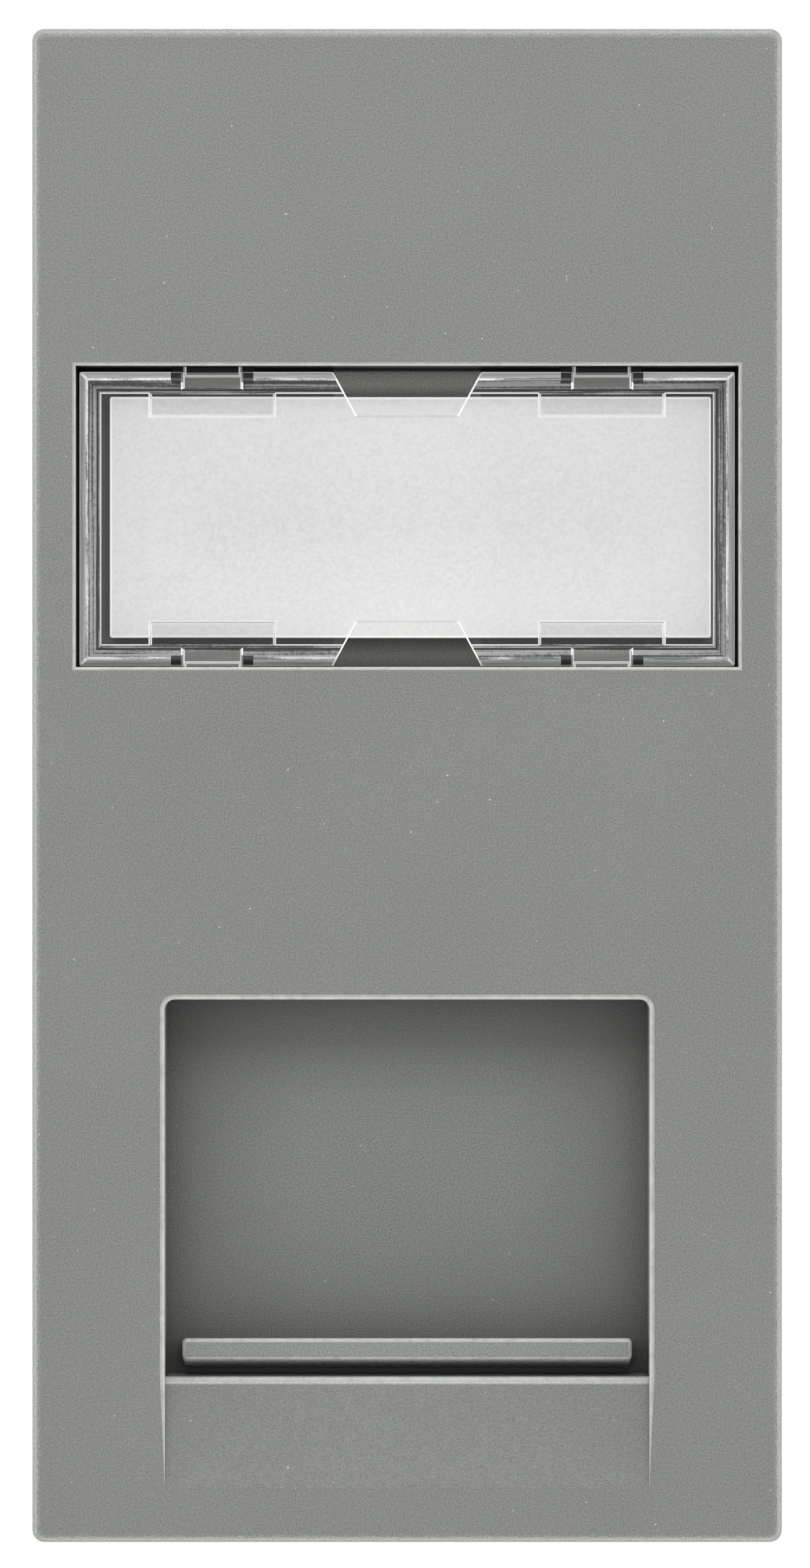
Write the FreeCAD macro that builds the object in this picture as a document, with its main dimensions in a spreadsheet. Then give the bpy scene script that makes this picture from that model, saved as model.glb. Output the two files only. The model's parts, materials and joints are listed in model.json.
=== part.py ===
import FreeCAD, Part
import os
import re

import Sketcher
from FreeCAD import Placement, Rotation, Vector

# Ethernet socket module, 22.5 x 45 mm size. Millimetres, +Z up, +X right as seen from the front.
# The face looks towards -Y. Y is zero on the back of the face, where the module seats on its support.

DIMENSIONS = [
    ("face_width", 22.3, "face, side to side"),
    ("face_height", 45.0, "face, top to bottom"),
    ("face_thickness", 2.0, "face plate"),
    ("face_corner", 0.36, "radius of the face's four corners"),
    ("face_edge", 0.3, "rounding along the face's front edge"),
    ("face_backing", 0.2, "face plate thicker inside the body walls"),
    ("body_inset_side", 0.5, "body wall in from the face's side edge"),
    ("body_inset_end", 1.3, "body wall in from the face's top and bottom edge"),
    ("body_wall", 1.1, "body wall thickness"),
    ("body_depth", 9.0, "body walls behind the face"),
    ("body_corner", 0.5, "rounding of the body's four corners"),
    ("body_lead", 0.4, "lead-in bevel at the back of the body walls"),
    ("clip_width", 9.0, "clip tongue in the top and bottom wall"),
    ("clip_slot", 0.9, "slot on each side of a clip tongue"),
    ("clip_root", 1.2, "solid wall between the face and a clip slot"),
    ("clip_grip", 2.3, "support thickness that a clip hook holds"),
    ("clip_hook", 0.9, "height of a clip hook"),
    ("clip_ramp", 2.8, "length of a clip hook with its ramp"),
    ("pocket_width", 19.7, "label pocket, side to side"),
    ("pocket_height", 8.95, "label pocket, top to bottom"),
    ("pocket_rise", 8.0, "centre of the label pocket above the face's centre"),
    ("pocket_depth", 1.7, "label pocket below the face"),
    ("pocket_floor", 1.0, "floor under the label pocket"),
    ("pocket_margin", 1.0, "thick floor beyond the pocket, top and bottom"),
    ("pocket_lip", 0.1, "rounding along the pocket's edge"),
    ("moat_depth", 0.6, "moat round the label's seat, below the pocket floor"),
    ("moat_overhang", 0.1, "label beyond the edge of its seat"),
    ("snap_spacing", 11.6, "between the window's left and right hooks"),
    ("snap_width", 1.75, "window hook"),
    ("snap_reach", 0.35, "window hook beyond the window's edge"),
    ("snap_groove", 0.5, "groove in the window's edge above a hook"),
    ("snap_roof", 0.8, "face above a hook slot"),
    ("snap_play", 0.35, "hook slot wider than the hook, each side"),
    ("snap_slot", 0.5, "hook slot beyond the pocket's edge"),
    ("snap_gap", 0.1, "hook below the face that holds it"),
    ("snap_land", 0.1, "flat end of a hook"),
    ("window_clearance", 0.1, "window smaller than its pocket, each side"),
    ("window_drop", 0.07, "window sits low in its pocket"),
    ("window_sink", 0.1, "window below the face"),
    ("window_rest", 0.03, "window clear of the pocket floor and of the label"),
    ("window_plate", 0.6, "window thickness over the label"),
    ("window_skirt", 0.6, "wall round the window"),
    ("window_bevel", 0.22, "bevel along the window's front edge"),
    ("notch_mouth", 4.4, "fingernail notch at the window's edge"),
    ("notch_root", 3.0, "fingernail notch at its inner end"),
    ("notch_depth", 1.3, "fingernail notch into the window"),
    ("press_width", 3.7, "pad that presses on the label"),
    ("press_reach", 1.3, "pad in from the window's edge"),
    ("card_width", 17.95, "paper label, side to side"),
    ("card_height", 7.2, "paper label, top to bottom"),
    ("card_thickness", 0.25, "paper label"),
    ("card_shift", 0.1, "paper label off centre, to the right"),
    ("port_width", 14.4, "shutter port, side to side"),
    ("port_height", 11.23, "shutter port, top to bottom"),
    ("port_shift", 0.48, "centre of the port below the plug's axis"),
    ("port_lip", 0.15, "rounding along the port's edge"),
    ("port_corner", 0.28, "radius of the port's upper corners"),
    ("port_collar", 1.0, "collar round the port behind the face"),
    ("scoop_length", 3.3, "finger scoop below the port"),
    ("scoop_depth", 0.6, "finger scoop at the port"),
    ("scoop_lip", 0.2, "rounding where the scoop meets the port"),
    ("shutter_gap", 0.3, "shutter behind the pocket floor"),
    ("shutter_thickness", 1.2, "shutter plate"),
    ("shutter_side", 0.9, "shutter wider than the port, each side"),
    ("shutter_head", 1.2, "shutter above the port"),
    ("shutter_foot", 0.8, "shutter below the port"),
    ("slide_clearance", 0.15, "running clearance of the shutter"),
    ("ledge_width", 13.4, "grip ledge, side to side"),
    ("ledge_thickness", 0.64, "grip ledge at its front"),
    ("ledge_lift", 1.14, "top of the grip ledge above the port's bottom edge"),
    ("ledge_sink", 0.6, "grip ledge below the face, level with the scoop's edge"),
    ("ledge_flare", 0.2, "grip ledge thicker at its root"),
    ("ledge_round", 0.15, "rounding of the grip ledge"),
    ("stop_rib", 1.0, "rib that the closed shutter stands on"),
    ("spring_diameter", 1.6, "return spring, outside"),
    ("spring_wire", 0.22, "return spring wire"),
    ("spring_length", 16.4, "return spring with the shutter closed"),
    ("spring_turns", 7, "return spring turns"),
    ("spring_gap", 0.1, "return spring behind the shutter's front"),
    ("seat_width", 2.4, "spring seat on the shutter"),
    ("seat_height", 1.7, "spring seat on the shutter"),
    ("peg_diameter", 0.8, "peg inside the spring"),
    ("peg_length", 1.5, "peg inside the spring"),
    ("carrier_clearance", 0.15, "carrier smaller than the body, each side"),
    ("carrier_plate", 1.3, "carrier plate"),
    ("carrier_head", 2.3, "carrier above the spring"),
    ("spacer_start", 2.0, "spacer posts, near side from the middle"),
    ("spacer_width", 2.2, "spacer posts"),
    ("nub_reach", 0.55, "snap nub on the carrier's side"),
    ("nub_length", 3.6, "snap nub on the carrier's side"),
    ("nub_inset", 0.15, "snap nub in from the carrier plate's faces"),
    ("nub_play", 0.12, "window round a snap nub"),
    ("nub_drop", 2.6, "lower snap nubs below the plug's axis"),
    ("sleeve_wall", 0.95, "sleeve round the jack"),
    ("sleeve_depth", 7.0, "sleeve behind the carrier plate"),
    ("jack_clearance", 0.1, "jack smaller than its sleeve, each side"),
    ("jack_setback", 0.25, "jack behind the spring"),
    ("jack_width", 14.5, "jack, side to side"),
    ("jack_floor", 7.4, "underside of the jack below the plug's axis"),
    ("jack_roof", 7.6, "top of the jack above the plug's axis"),
    ("jack_depth", 14.0, "jack housing, front to back"),
    ("jack_shoulder", 0.7, "shoulder of the jack behind the sleeve"),
    ("jack_stop", 0.05, "shoulder behind the sleeve's end"),
    ("jack_edge", 0.3, "bevel round the jack's front"),
    ("plug_width", 11.9, "plug cavity, side to side"),
    ("plug_height", 6.8, "plug cavity, top to bottom"),
    ("plug_depth", 11.5, "plug cavity, front to back"),
    ("plug_lead", 0.4, "lead-in bevel round the plug cavity's mouth"),
    ("key_width", 6.2, "wide part of the plug's latch slot"),
    ("key_height", 1.4, "wide part of the plug's latch slot"),
    ("catch_width", 3.5, "narrow part of the plug's latch slot"),
    ("catch_height", 1.1, "narrow part of the plug's latch slot"),
    ("arm_width", 6.0, "latch arm on the jack"),
    ("arm_thickness", 0.8, "latch arm on the jack"),
    ("arm_gap", 0.6, "gap under the latch arm"),
    ("arm_front", 0.8, "latch arm's root behind the jack's front"),
    ("arm_root", 1.6, "length of the latch arm's root"),
    ("arm_hook", 0.75, "latch arm's hook"),
    ("arm_hook_start", 3.4, "latch arm's hook behind the jack's front"),
    ("arm_hook_length", 2.2, "latch arm's hook"),
    ("arm_tab", 2.0, "finger tab on the latch arm"),
    ("arm_tab_thickness", 1.0, "finger tab on the latch arm"),
    ("lug_height", 0.5, "lug under the jack"),
    ("lug_width", 5.0, "lug under the jack"),
    ("lug_start", 3.0, "lug behind the jack's front"),
    ("lug_length", 1.2, "lug under the jack"),
    ("latch_play", 0.12, "slots round the hook and the lug"),
    ("contact_pitch", 1.02, "between contact wires"),
    ("contact_wire", 0.35, "contact wire thickness"),
    ("contact_run", 6.0, "straight run of the contacts above the plug's axis"),
    ("contact_nose", 3.6, "contact bend behind the jack's front"),
    ("contact_bend", 0.9, "contact bend radius"),
    ("contact_slope", 24, "slope of the contacts in the cavity, degrees"),
    ("contact_reach", 6.6, "length of the contacts' sloped part"),
    ("contact_tail", 0.7, "contact ends behind the board"),
    ("contact_play", 0.025, "contact wires clear of the comb"),
    ("comb_width", 10.6, "contact comb, side to side"),
    ("comb_ridge", 0.5, "ridges between the contacts"),
    ("comb_play", 0.1, "comb smaller than its bay"),
    ("comb_ledge", 0.8, "ledge under each side of the comb"),
    ("bay_front", 2.4, "comb bay behind the jack's front"),
    ("board_thickness", 1.2, "circuit board"),
    ("board_margin", 0.9, "circuit board inside the block's rim"),
    ("board_play", 0.1, "circuit board smaller than its recess"),
    ("board_hole", 0.62, "holes for the contact and terminal ends"),
    ("block_depth", 9.8, "terminal block behind the board"),
    ("block_base", 3.8, "solid base of the terminal block"),
    ("row_height", 3.4, "terminal rows above and below the plug's axis"),
    ("row_pitch", 3.3, "between terminals in a row"),
    ("channel_width", 12.4, "wire channel between the rows"),
    ("channel_height", 4.7, "wire channel between the rows"),
    ("wire_slot", 1.1, "wire slot through a terminal"),
    ("strap_height", 4.0, "straps on the block's sides"),
    ("strap_thickness", 0.7, "straps on the block's sides"),
    ("strap_length", 3.0, "straps on the block's sides"),
    ("strap_play", 0.1, "windows round the snap nubs"),
    ("bead_reach", 0.5, "snap nubs for the straps and the cap"),
    ("bead_length", 1.3, "snap nubs for the straps and the cap"),
    ("bead_width", 2.4, "snap nubs for the straps and the cap"),
    ("bead_setback", 1.2, "snap nub in from the end of its strap"),
    ("fork_width", 2.3, "terminal"),
    ("fork_thickness", 0.4, "terminal"),
    ("fork_slot", 0.3, "cutting slot of a terminal"),
    ("fork_slot_depth", 4.6, "cutting slot of a terminal"),
    ("fork_mouth", 1.2, "mouth of the cutting slot"),
    ("fork_mouth_depth", 0.7, "mouth of the cutting slot"),
    ("fork_setback", 0.8, "terminal below the block's rear face"),
    ("fork_play", 0.08, "terminal smaller than its slot"),
    ("pin_width", 0.44, "terminal's pin"),
    ("pin_base", 1.4, "block between the board and the terminal's shoulder"),
    ("pin_setback", 0.1, "pin end behind the board's front"),
    ("cap_plate", 1.4, "wire cap"),
    ("cap_gap", 0.1, "wire cap clear of the block"),
    ("cap_arm", 0.8, "arms of the wire cap"),
    ("cap_arm_length", 5.5, "arms of the wire cap"),
    ("cap_arm_height", 8.0, "arms of the wire cap"),
    ("cable_hole", 7.2, "cable entry in the wire cap"),
    ("cap_rib", 0.8, "ribs that press the wires"),
    ("cap_rib_depth", 2.8, "ribs that press the wires"),
    ("cap_rib_height", 2.4, "ribs that press the wires"),
    ("cap_rib_start", 0.8, "ribs outside the terminals"),
    ("cap_edge", 0.5, "bevel round the wire cap"),
    ("cap_corner", 1.0, "radius of the wire cap's corners"),
]

doc = FreeCAD.newDocument("ethernet_socket_module")
sheet = doc.addObject("Spreadsheet::Sheet", "Dimensions")
for row, (name, value, meaning) in enumerate(DIMENSIONS, start=1):
    sheet.set(f"A{row}", name)
    sheet.set(f"B{row}", str(value))
    sheet.set(f"C{row}", meaning)
    sheet.setAlias(f"B{row}", name)
doc.recompute()

NAMES = {name for name, value, meaning in DIMENSIONS}
FRONT = "XZ_Plane"
SIDE = "YZ_Plane"
PLAN = "XY_Plane"
finished = []


def bound(text):
    """The expression with each of the sheet's names written as a cell of the sheet."""
    return re.sub(
        r"[a-z][a-z_]*",
        lambda found: f"Dimensions.{found.group()}" if found.group() in NAMES else found.group(),
        text,
    )


def number(text):
    """The expression's value, for the first drawing of a sketch."""
    return float(sheet.evalExpression(text))


def rect(left, right, low, high):
    return [(left, low), (right, low), (right, high), (left, high)]


def both_sides(near, far, low, high):
    """The same rectangle on the left and the right of the middle."""
    return [rect(near, far, low, high), rect(f"-({far})", f"-({near})", low, high)]


def drilled(u, v, width):
    """A small hole, drawn with eight flats to keep the mesh light."""
    corners = ((5, 2), (2, 5), (-2, 5), (-5, 2), (-5, -2), (-2, -5), (2, -5), (5, -2))
    return [(f"{u} + {a} * {width} / 10", f"{v} + {b} * {width} / 10") for a, b in corners]


def new_body(name, x="0", y="0", z="0"):
    body = doc.addObject("PartDesign::Body", name)
    body.Label = name
    for axis, text in (("x", x), ("y", y), ("z", z)):
        body.setExpression(f"Placement.Base.{axis}", bound(text))
    finished.append(body)
    return body


def new_sketch(body, name, plane, level):
    """A sketch parallel to one of the body's origin planes, at a level along +Y, +X or +Z."""
    sketch = body.newObject("Sketcher::SketchObject", name)
    base = next(part for part in body.Origin.OriginFeatures if part.Role == plane)
    sketch.AttachmentSupport = [(base, "")]
    sketch.MapMode = "FlatFace"
    sign = "-" if plane == FRONT else ""
    sketch.setExpression("AttachmentOffset.Base.z", bound(f"{sign}({level})"))
    return sketch


def hold_along(sketch, kind, geometry, point, text):
    index = sketch.addConstraint(Sketcher.Constraint(kind, -1, 1, geometry, point, number(text)))
    sketch.setExpression(f"Constraints[{index}]", bound(text))


def hold(sketch, geometry, point, u, v):
    """Holds a point of the sketch at a place worked out from the sheet."""
    hold_along(sketch, "DistanceX", geometry, point, u)
    hold_along(sketch, "DistanceY", geometry, point, v)


def measure(sketch, kind, geometry, text):
    index = sketch.addConstraint(Sketcher.Constraint(kind, geometry, number(text)))
    sketch.setExpression(f"Constraints[{index}]", bound(text))


def draw_outline(sketch, points):
    corners = [Vector(number(u), number(v), 0) for u, v in points]
    count = len(corners)
    first = sketch.GeometryCount
    for index in range(count):
        line = Part.LineSegment(corners[index], corners[(index + 1) % count])
        sketch.addGeometry(line, False)
    for index in range(count):
        following = first + (index + 1) % count
        sketch.addConstraint(Sketcher.Constraint("Coincident", first + index, 2, following, 1))
    for index, (u, v) in enumerate(points):
        hold(sketch, first + index, 1, u, v)


def draw_circle(sketch, u, v, diameter):
    centre = Vector(number(u), number(v), 0)
    ring = sketch.addGeometry(
        Part.Circle(centre, Vector(0, 0, 1), number(diameter) / 2), False
    )
    hold(sketch, ring, 3, u, v)
    measure(sketch, "Diameter", ring, diameter)


def profile(body, name, plane, level, outlines):
    sketch = new_sketch(body, f"{name}_sketch", plane, level)
    for shape in outlines:
        if isinstance(shape, tuple):
            draw_circle(sketch, *shape)
        else:
            draw_outline(sketch, shape)
    return sketch


def extrude(body, kind, name, sketch, plane, start, end):
    feature = body.newObject(kind, f"{body.Label}_{name}")
    feature.Profile = sketch
    feature.setExpression("Length", bound(f"({end}) - ({start})"))
    # A pad follows the sketch's normal and a pocket runs against it. The front plane's normal is -Y.
    feature.Reversed = (plane == FRONT) == (kind == "PartDesign::Pad")
    doc.recompute()
    return feature


def add(body, name, plane, outlines, start, end):
    """Adds prisms from one level to a higher one."""
    sketch = profile(body, f"{body.Label}_{name}", plane, start, outlines)
    return extrude(body, "PartDesign::Pad", name, sketch, plane, start, end)


def cut(body, name, plane, outlines, start, end):
    """Cuts prisms from one level to a higher one."""
    sketch = profile(body, f"{body.Label}_{name}", plane, start, outlines)
    return extrude(body, "PartDesign::Pocket", name, sketch, plane, start, end)


def cut_loft(body, name, plane, sections):
    """Cuts a straight-sided loft through outlines at the given levels."""
    sketches = [
        profile(body, f"{body.Label}_{name}_{index}", plane, level, [outline])
        for index, (level, outline) in enumerate(sections)
    ]
    loft = body.newObject("PartDesign::SubtractiveLoft", f"{body.Label}_{name}")
    loft.Profile = sketches[0]
    loft.Sections = sketches[1:]
    loft.Ruled = True
    doc.recompute()
    return loft


def edges_of(feature, test):
    """Names of the edges whose bounding box passes the test."""
    return [
        f"Edge{index}"
        for index, edge in enumerate(feature.Shape.Edges, start=1)
        if test(edge.BoundBox)
    ]


def dress(body, kind, name, feature, edges, size):
    """Rounds or bevels edges."""
    dressed = body.newObject(f"PartDesign::{kind}", f"{body.Label}_{name}")
    dressed.Base = (feature, edges)
    dressed.setExpression("Radius" if kind == "Fillet" else "Size", bound(size))
    doc.recompute()
    return dressed


def pattern(body, name, feature, role, count, length):
    """Repeats a feature along one of the body's origin axes."""
    axis = next(part for part in body.Origin.OriginFeatures if part.Role == role)
    repeated = body.newObject("PartDesign::LinearPattern", f"{body.Label}_{name}")
    repeated.Originals = [feature]
    repeated.Direction = (axis, [""])
    repeated.Occurrences = count
    repeated.setExpression("Length", bound(length))
    body.Tip = repeated
    doc.recompute()
    return repeated


def near(value, text):
    return abs(value - number(text)) < 1e-4


# A quarter round in four straight steps: shares of its radius into the face and along the face.
QUARTER_ROUND = (("0", "1"), ("0.076", "0.617"), ("0.293", "0.293"), ("0.617", "0.076"), ("1", "0"))
# The same between the scoop's slope and the port's wall, which meet at less than a right angle.
SCOOP_ROUND = (("-0.055", "0.46"), ("0.169", "0.214"), ("0.46", "0.055"), ("0.787", "0"))

# Levels and places that more than one piece uses, worked out from the sheet.
FACE = "(-face_thickness)"
OUTER_X = "(face_width / 2 - body_inset_side)"
OUTER_Z = "(face_height / 2 - body_inset_end)"
INNER_X = f"({OUTER_X} - body_wall)"
INNER_Z = f"({OUTER_Z} - body_wall)"
POCKET_BACK = "(pocket_depth - face_thickness + pocket_floor)"
PLUG_Z = f"(-{INNER_Z} + carrier_clearance + sleeve_wall + jack_clearance + jack_floor)"
PORT_X = "(port_width / 2)"
PORT_HIGH = f"({PLUG_Z} - port_shift + port_height / 2)"
PORT_LOW = f"({PLUG_Z} - port_shift - port_height / 2)"
SHUTTER_FRONT = f"({POCKET_BACK} + shutter_gap)"
SHUTTER_BACK = f"({SHUTTER_FRONT} + shutter_thickness)"
SHUTTER_X = f"({PORT_X} + shutter_side)"
SHUTTER_HIGH = f"({PORT_HIGH} + shutter_head)"
SHUTTER_LOW = f"({PORT_LOW} - shutter_foot)"
SPRING_Y = f"({SHUTTER_FRONT} + spring_gap + spring_diameter / 2)"
SPRING_BACK = f"({SPRING_Y} + spring_diameter / 2)"
SPRING_HIGH = f"({SHUTTER_HIGH} + spring_length)"
CARRIER_FRONT = f"({SHUTTER_BACK} + slide_clearance)"
CARRIER_BACK = f"({CARRIER_FRONT} + carrier_plate)"
CARRIER_X = f"({INNER_X} - carrier_clearance)"
CARRIER_HIGH = f"({SPRING_HIGH} + carrier_head)"
NUB_HIGH_Z = f"({SPRING_HIGH} + carrier_head - nub_length / 2 - nub_play)"
NUB_LOW_Z = f"({PLUG_Z} - nub_drop)"
JACK_FRONT = f"({SPRING_BACK} + jack_setback)"
SLEEVE_END = f"({CARRIER_BACK} + sleeve_depth)"

# Places in the window, from the middle of the label pocket on the face.
WINDOW_X = "(pocket_width / 2 - window_clearance)"
WINDOW_Z = "(pocket_height / 2 - window_clearance)"
SNAP_X = "(snap_spacing / 2)"
HOOK_TOP = "(snap_roof + snap_gap)"
SEAT_X = "(card_width / 2 - moat_overhang)"
SEAT_Z = "(card_height / 2 - moat_overhang)"
WINDOW_BACK = "(pocket_depth - window_rest)"
PAD_BACK = "(pocket_depth - card_thickness - window_rest)"

# Places in the jack, from the plug's axis on the jack's front.
JACK_X = "(jack_width / 2)"
SHOULDER_X = f"({JACK_X} + jack_shoulder)"
ARM_LOW = "(jack_roof + arm_gap)"
ARM_HIGH = f"({ARM_LOW} + arm_thickness)"
BOARD_BACK = "(jack_depth + board_thickness)"
BLOCK_BACK = f"({BOARD_BACK} + block_depth)"
BLOCK_FLOOR = f"({BOARD_BACK} + block_base)"
FORK_SHOULDER = f"({BOARD_BACK} + pin_base)"
COMB_HIGH = "(contact_run + contact_wire / 2 + contact_play)"
COMB_TOP = "(contact_run - contact_wire / 2 - contact_play)"
COMB_RADIUS = "(contact_bend - contact_wire / 2 - contact_play)"
COMB_LOW = f"(contact_run - contact_bend - {COMB_RADIUS})"
CAP_FRONT = f"({BLOCK_BACK} + cap_gap)"
CAP_ARM_X = f"({SHOULDER_X} + cap_gap)"
CAP_BEAD = f"({CAP_FRONT} + cap_plate - cap_arm_length + bead_setback)"
STRAP_BEAD = "(jack_depth - strap_length + bead_setback)"


def port_outline(grown):
    """The port's outline, grown at its sides and its top, with its upper corners rounded."""
    x = f"({PORT_X} + {grown})"
    high = f"({PORT_HIGH} + {grown})"
    radius = f"(port_corner + {grown})"
    right = [(x, PORT_LOW)]
    right += [(f"{x} - {a} * {radius}", f"{high} - {b} * {radius}") for a, b in QUARTER_ROUND]
    return right + [(f"-({u})", v) for u, v in reversed(right)]


def scoop_outline(share):
    """Across the scoop, with the port's rounding along both sides, all shrunk towards the face."""
    right = [
        (f"{PORT_X} + {spread} * {share} * port_lip", f"{FACE} + {depth} * {share} * port_lip")
        for depth, spread in QUARTER_ROUND
    ]
    right.append((PORT_X, f"{FACE} + {share} * scoop_depth"))
    return right + [(f"-({u})", v) for u, v in reversed(right)]


def make_front_frame():
    body = new_body("front_frame")
    face = add(
        body, "face", FRONT,
        [rect("-face_width / 2", "face_width / 2", "-face_height / 2", "face_height / 2")],
        FACE, "0",
    )
    corners = edges_of(face, lambda box: box.YLength > 1 and box.XLength < 1 and box.ZLength < 1)
    rounded = dress(body, "Fillet", "corners", face, corners, "face_corner")
    rim = edges_of(rounded, lambda box: near(box.YMax, FACE))
    dress(body, "Fillet", "front_edge", rounded, rim, "face_edge")

    walls = add(
        body, "walls", FRONT,
        [
            rect(f"-{OUTER_X}", OUTER_X, f"-{OUTER_Z}", OUTER_Z),
            rect(f"-{INNER_X}", INNER_X, f"-{INNER_Z}", INNER_Z),
        ],
        "0", "body_depth",
    )
    upright = edges_of(
        walls,
        lambda box: near(box.YLength, "body_depth") and near(abs(box.XMin), OUTER_X),
    )
    walls_rounded = dress(body, "Fillet", "wall_corners", walls, upright, "body_corner")
    rear = edges_of(
        walls_rounded,
        lambda box: near(box.YMin, "body_depth")
        and (near(max(box.XMax, -box.XMin), OUTER_X) or near(max(box.ZMax, -box.ZMin), OUTER_Z)),
    )
    dress(body, "Chamfer", "wall_lead", walls_rounded, rear, "body_lead")
    add(
        body, "backing", FRONT,
        [rect(f"-{INNER_X}", INNER_X, f"-{INNER_Z}", INNER_Z)],
        "0", "face_backing",
    )
    add(
        body, "pocket_backing", FRONT,
        [rect(
            f"-{INNER_X}", INNER_X,
            "pocket_rise - pocket_height / 2 - pocket_margin",
            "pocket_rise + pocket_height / 2 + pocket_margin",
        )],
        "0", POCKET_BACK,
    )
    add(
        body, "port_collar", FRONT,
        [rect(
            f"-({PORT_X} + port_collar)", f"{PORT_X} + port_collar",
            f"{PORT_LOW} - port_collar", f"{PORT_HIGH} + port_collar",
        )],
        "0", f"{SHUTTER_FRONT} - slide_clearance",
    )
    # Two rails beside the shutter, joined by the rib that the closed shutter stands on.
    track = f"({SHUTTER_X} + slide_clearance)"
    rail_high = f"({SHUTTER_HIGH} + port_height - ledge_lift)"
    rib_low = f"({SHUTTER_LOW} - stop_rib)"
    add(
        body, "rails", FRONT,
        [[
            (f"-{INNER_X}", rib_low), (INNER_X, rib_low),
            (INNER_X, rail_high), (track, rail_high),
            (track, SHUTTER_LOW), (f"-{track}", SHUTTER_LOW),
            (f"-{track}", rail_high), (f"-{INNER_X}", rail_high),
        ]],
        "0", CARRIER_FRONT,
    )
    add(
        body, "spacers", FRONT,
        both_sides("spacer_start", "spacer_start + spacer_width", SPRING_HIGH, CARRIER_HIGH),
        "0", CARRIER_FRONT,
    )

    cut(
        body, "label_pocket", FRONT,
        [rect(
            "-pocket_width / 2", "pocket_width / 2",
            "pocket_rise - pocket_height / 2", "pocket_rise + pocket_height / 2",
        )],
        FACE, f"{FACE} + pocket_depth",
    )
    # A moat round the label's seat takes the window's wall and hooks clear of the label.
    cut(
        body, "label_moat", FRONT,
        [
            rect(
                "-pocket_width / 2", "pocket_width / 2",
                "pocket_rise - pocket_height / 2", "pocket_rise + pocket_height / 2",
            ),
            rect(
                f"card_shift - {SEAT_X}", f"card_shift + {SEAT_X}",
                f"pocket_rise - {SEAT_Z}", f"pocket_rise + {SEAT_Z}",
            ),
        ],
        f"{FACE} + pocket_depth", f"{FACE} + pocket_depth + moat_depth",
    )
    cut_loft(body, "pocket_lip", FRONT, [
        (
            f"{FACE} + {depth} * pocket_lip",
            rect(
                f"-(pocket_width / 2 + {spread} * pocket_lip)", f"pocket_width / 2 + {spread} * pocket_lip",
                f"pocket_rise - pocket_height / 2 - {spread} * pocket_lip",
                f"pocket_rise + pocket_height / 2 + {spread} * pocket_lip",
            ),
        )
        for depth, spread in QUARTER_ROUND
    ])
    slot = "(snap_width / 2 + snap_play)"
    slots = []
    for low, high in (
        ("pocket_rise + pocket_height / 2 - snap_slot / 3", "pocket_rise + pocket_height / 2 + snap_slot"),
        ("pocket_rise - pocket_height / 2 - snap_slot", "pocket_rise - pocket_height / 2 + snap_slot / 3"),
    ):
        slots += both_sides(f"{SNAP_X} - {slot}", f"{SNAP_X} + {slot}", low, high)
    cut(body, "snap_slots", FRONT, slots, f"{FACE} + snap_roof", f"{POCKET_BACK} + pocket_floor")

    cut(body, "port", FRONT, [port_outline("0")], FACE, SHUTTER_FRONT)
    # The rounding of the port's edge is drawn out to nothing along the scoop.
    cut_loft(body, "port_lip", FRONT, [
        (f"{FACE} + {depth} * port_lip", port_outline(f"{spread} * port_lip"))
        for depth, spread in QUARTER_ROUND
    ])
    cut_loft(body, "scoop", PLAN, [
        (f"{PORT_LOW} - {along} * scoop_length", scoop_outline(share))
        for along, share in (("0", "1"), ("1", "0.02"))
    ])
    lip_y = f"({FACE} + scoop_depth)"
    on_slope = (
        f"{lip_y} - 0.765 * scoop_lip * scoop_depth / scoop_length", f"{PORT_LOW} - 0.765 * scoop_lip",
    )
    rounding = [
        (f"{lip_y} + {depth} * scoop_lip", f"{PORT_LOW} - {spread} * scoop_lip")
        for depth, spread in SCOOP_ROUND
    ]
    cut(body, "scoop_lip", SIDE, [[on_slope, *rounding, (lip_y, PORT_LOW)]], f"-{PORT_X}", PORT_X)

    slot_near = "clip_width / 2"
    slot_far = "clip_width / 2 + clip_slot"
    cut(
        body, "clip_slots", FRONT,
        both_sides(slot_near, slot_far, INNER_Z, OUTER_Z)
        + both_sides(slot_near, slot_far, f"-{OUTER_Z}", f"-{INNER_Z}"),
        "clip_root", "body_depth",
    )
    add(
        body, "clip_hooks", SIDE,
        [
            [
                ("clip_grip", f"{sign}({OUTER_Z} - body_wall / 2)"),
                ("clip_grip", f"{sign}({OUTER_Z} + clip_hook)"),
                ("clip_grip + clip_ramp / 5", f"{sign}({OUTER_Z} + clip_hook)"),
                ("clip_grip + clip_ramp", f"{sign}{OUTER_Z}"),
                ("clip_grip + clip_ramp", f"{sign}({OUTER_Z} - body_wall / 2)"),
            ]
            for sign in ("", "-")
        ],
        "-clip_width / 2", "clip_width / 2",
    )
    cut(
        body, "nub_windows", SIDE,
        [
            rect(
                f"{CARRIER_FRONT} + nub_inset - nub_play", f"{CARRIER_BACK} - nub_inset + nub_play",
                f"{height} - nub_length / 2 - nub_play", f"{height} + nub_length / 2 + nub_play",
            )
            for height in (NUB_LOW_Z, NUB_HIGH_Z)
        ],
        f"-{OUTER_X}", OUTER_X,
    )


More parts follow.
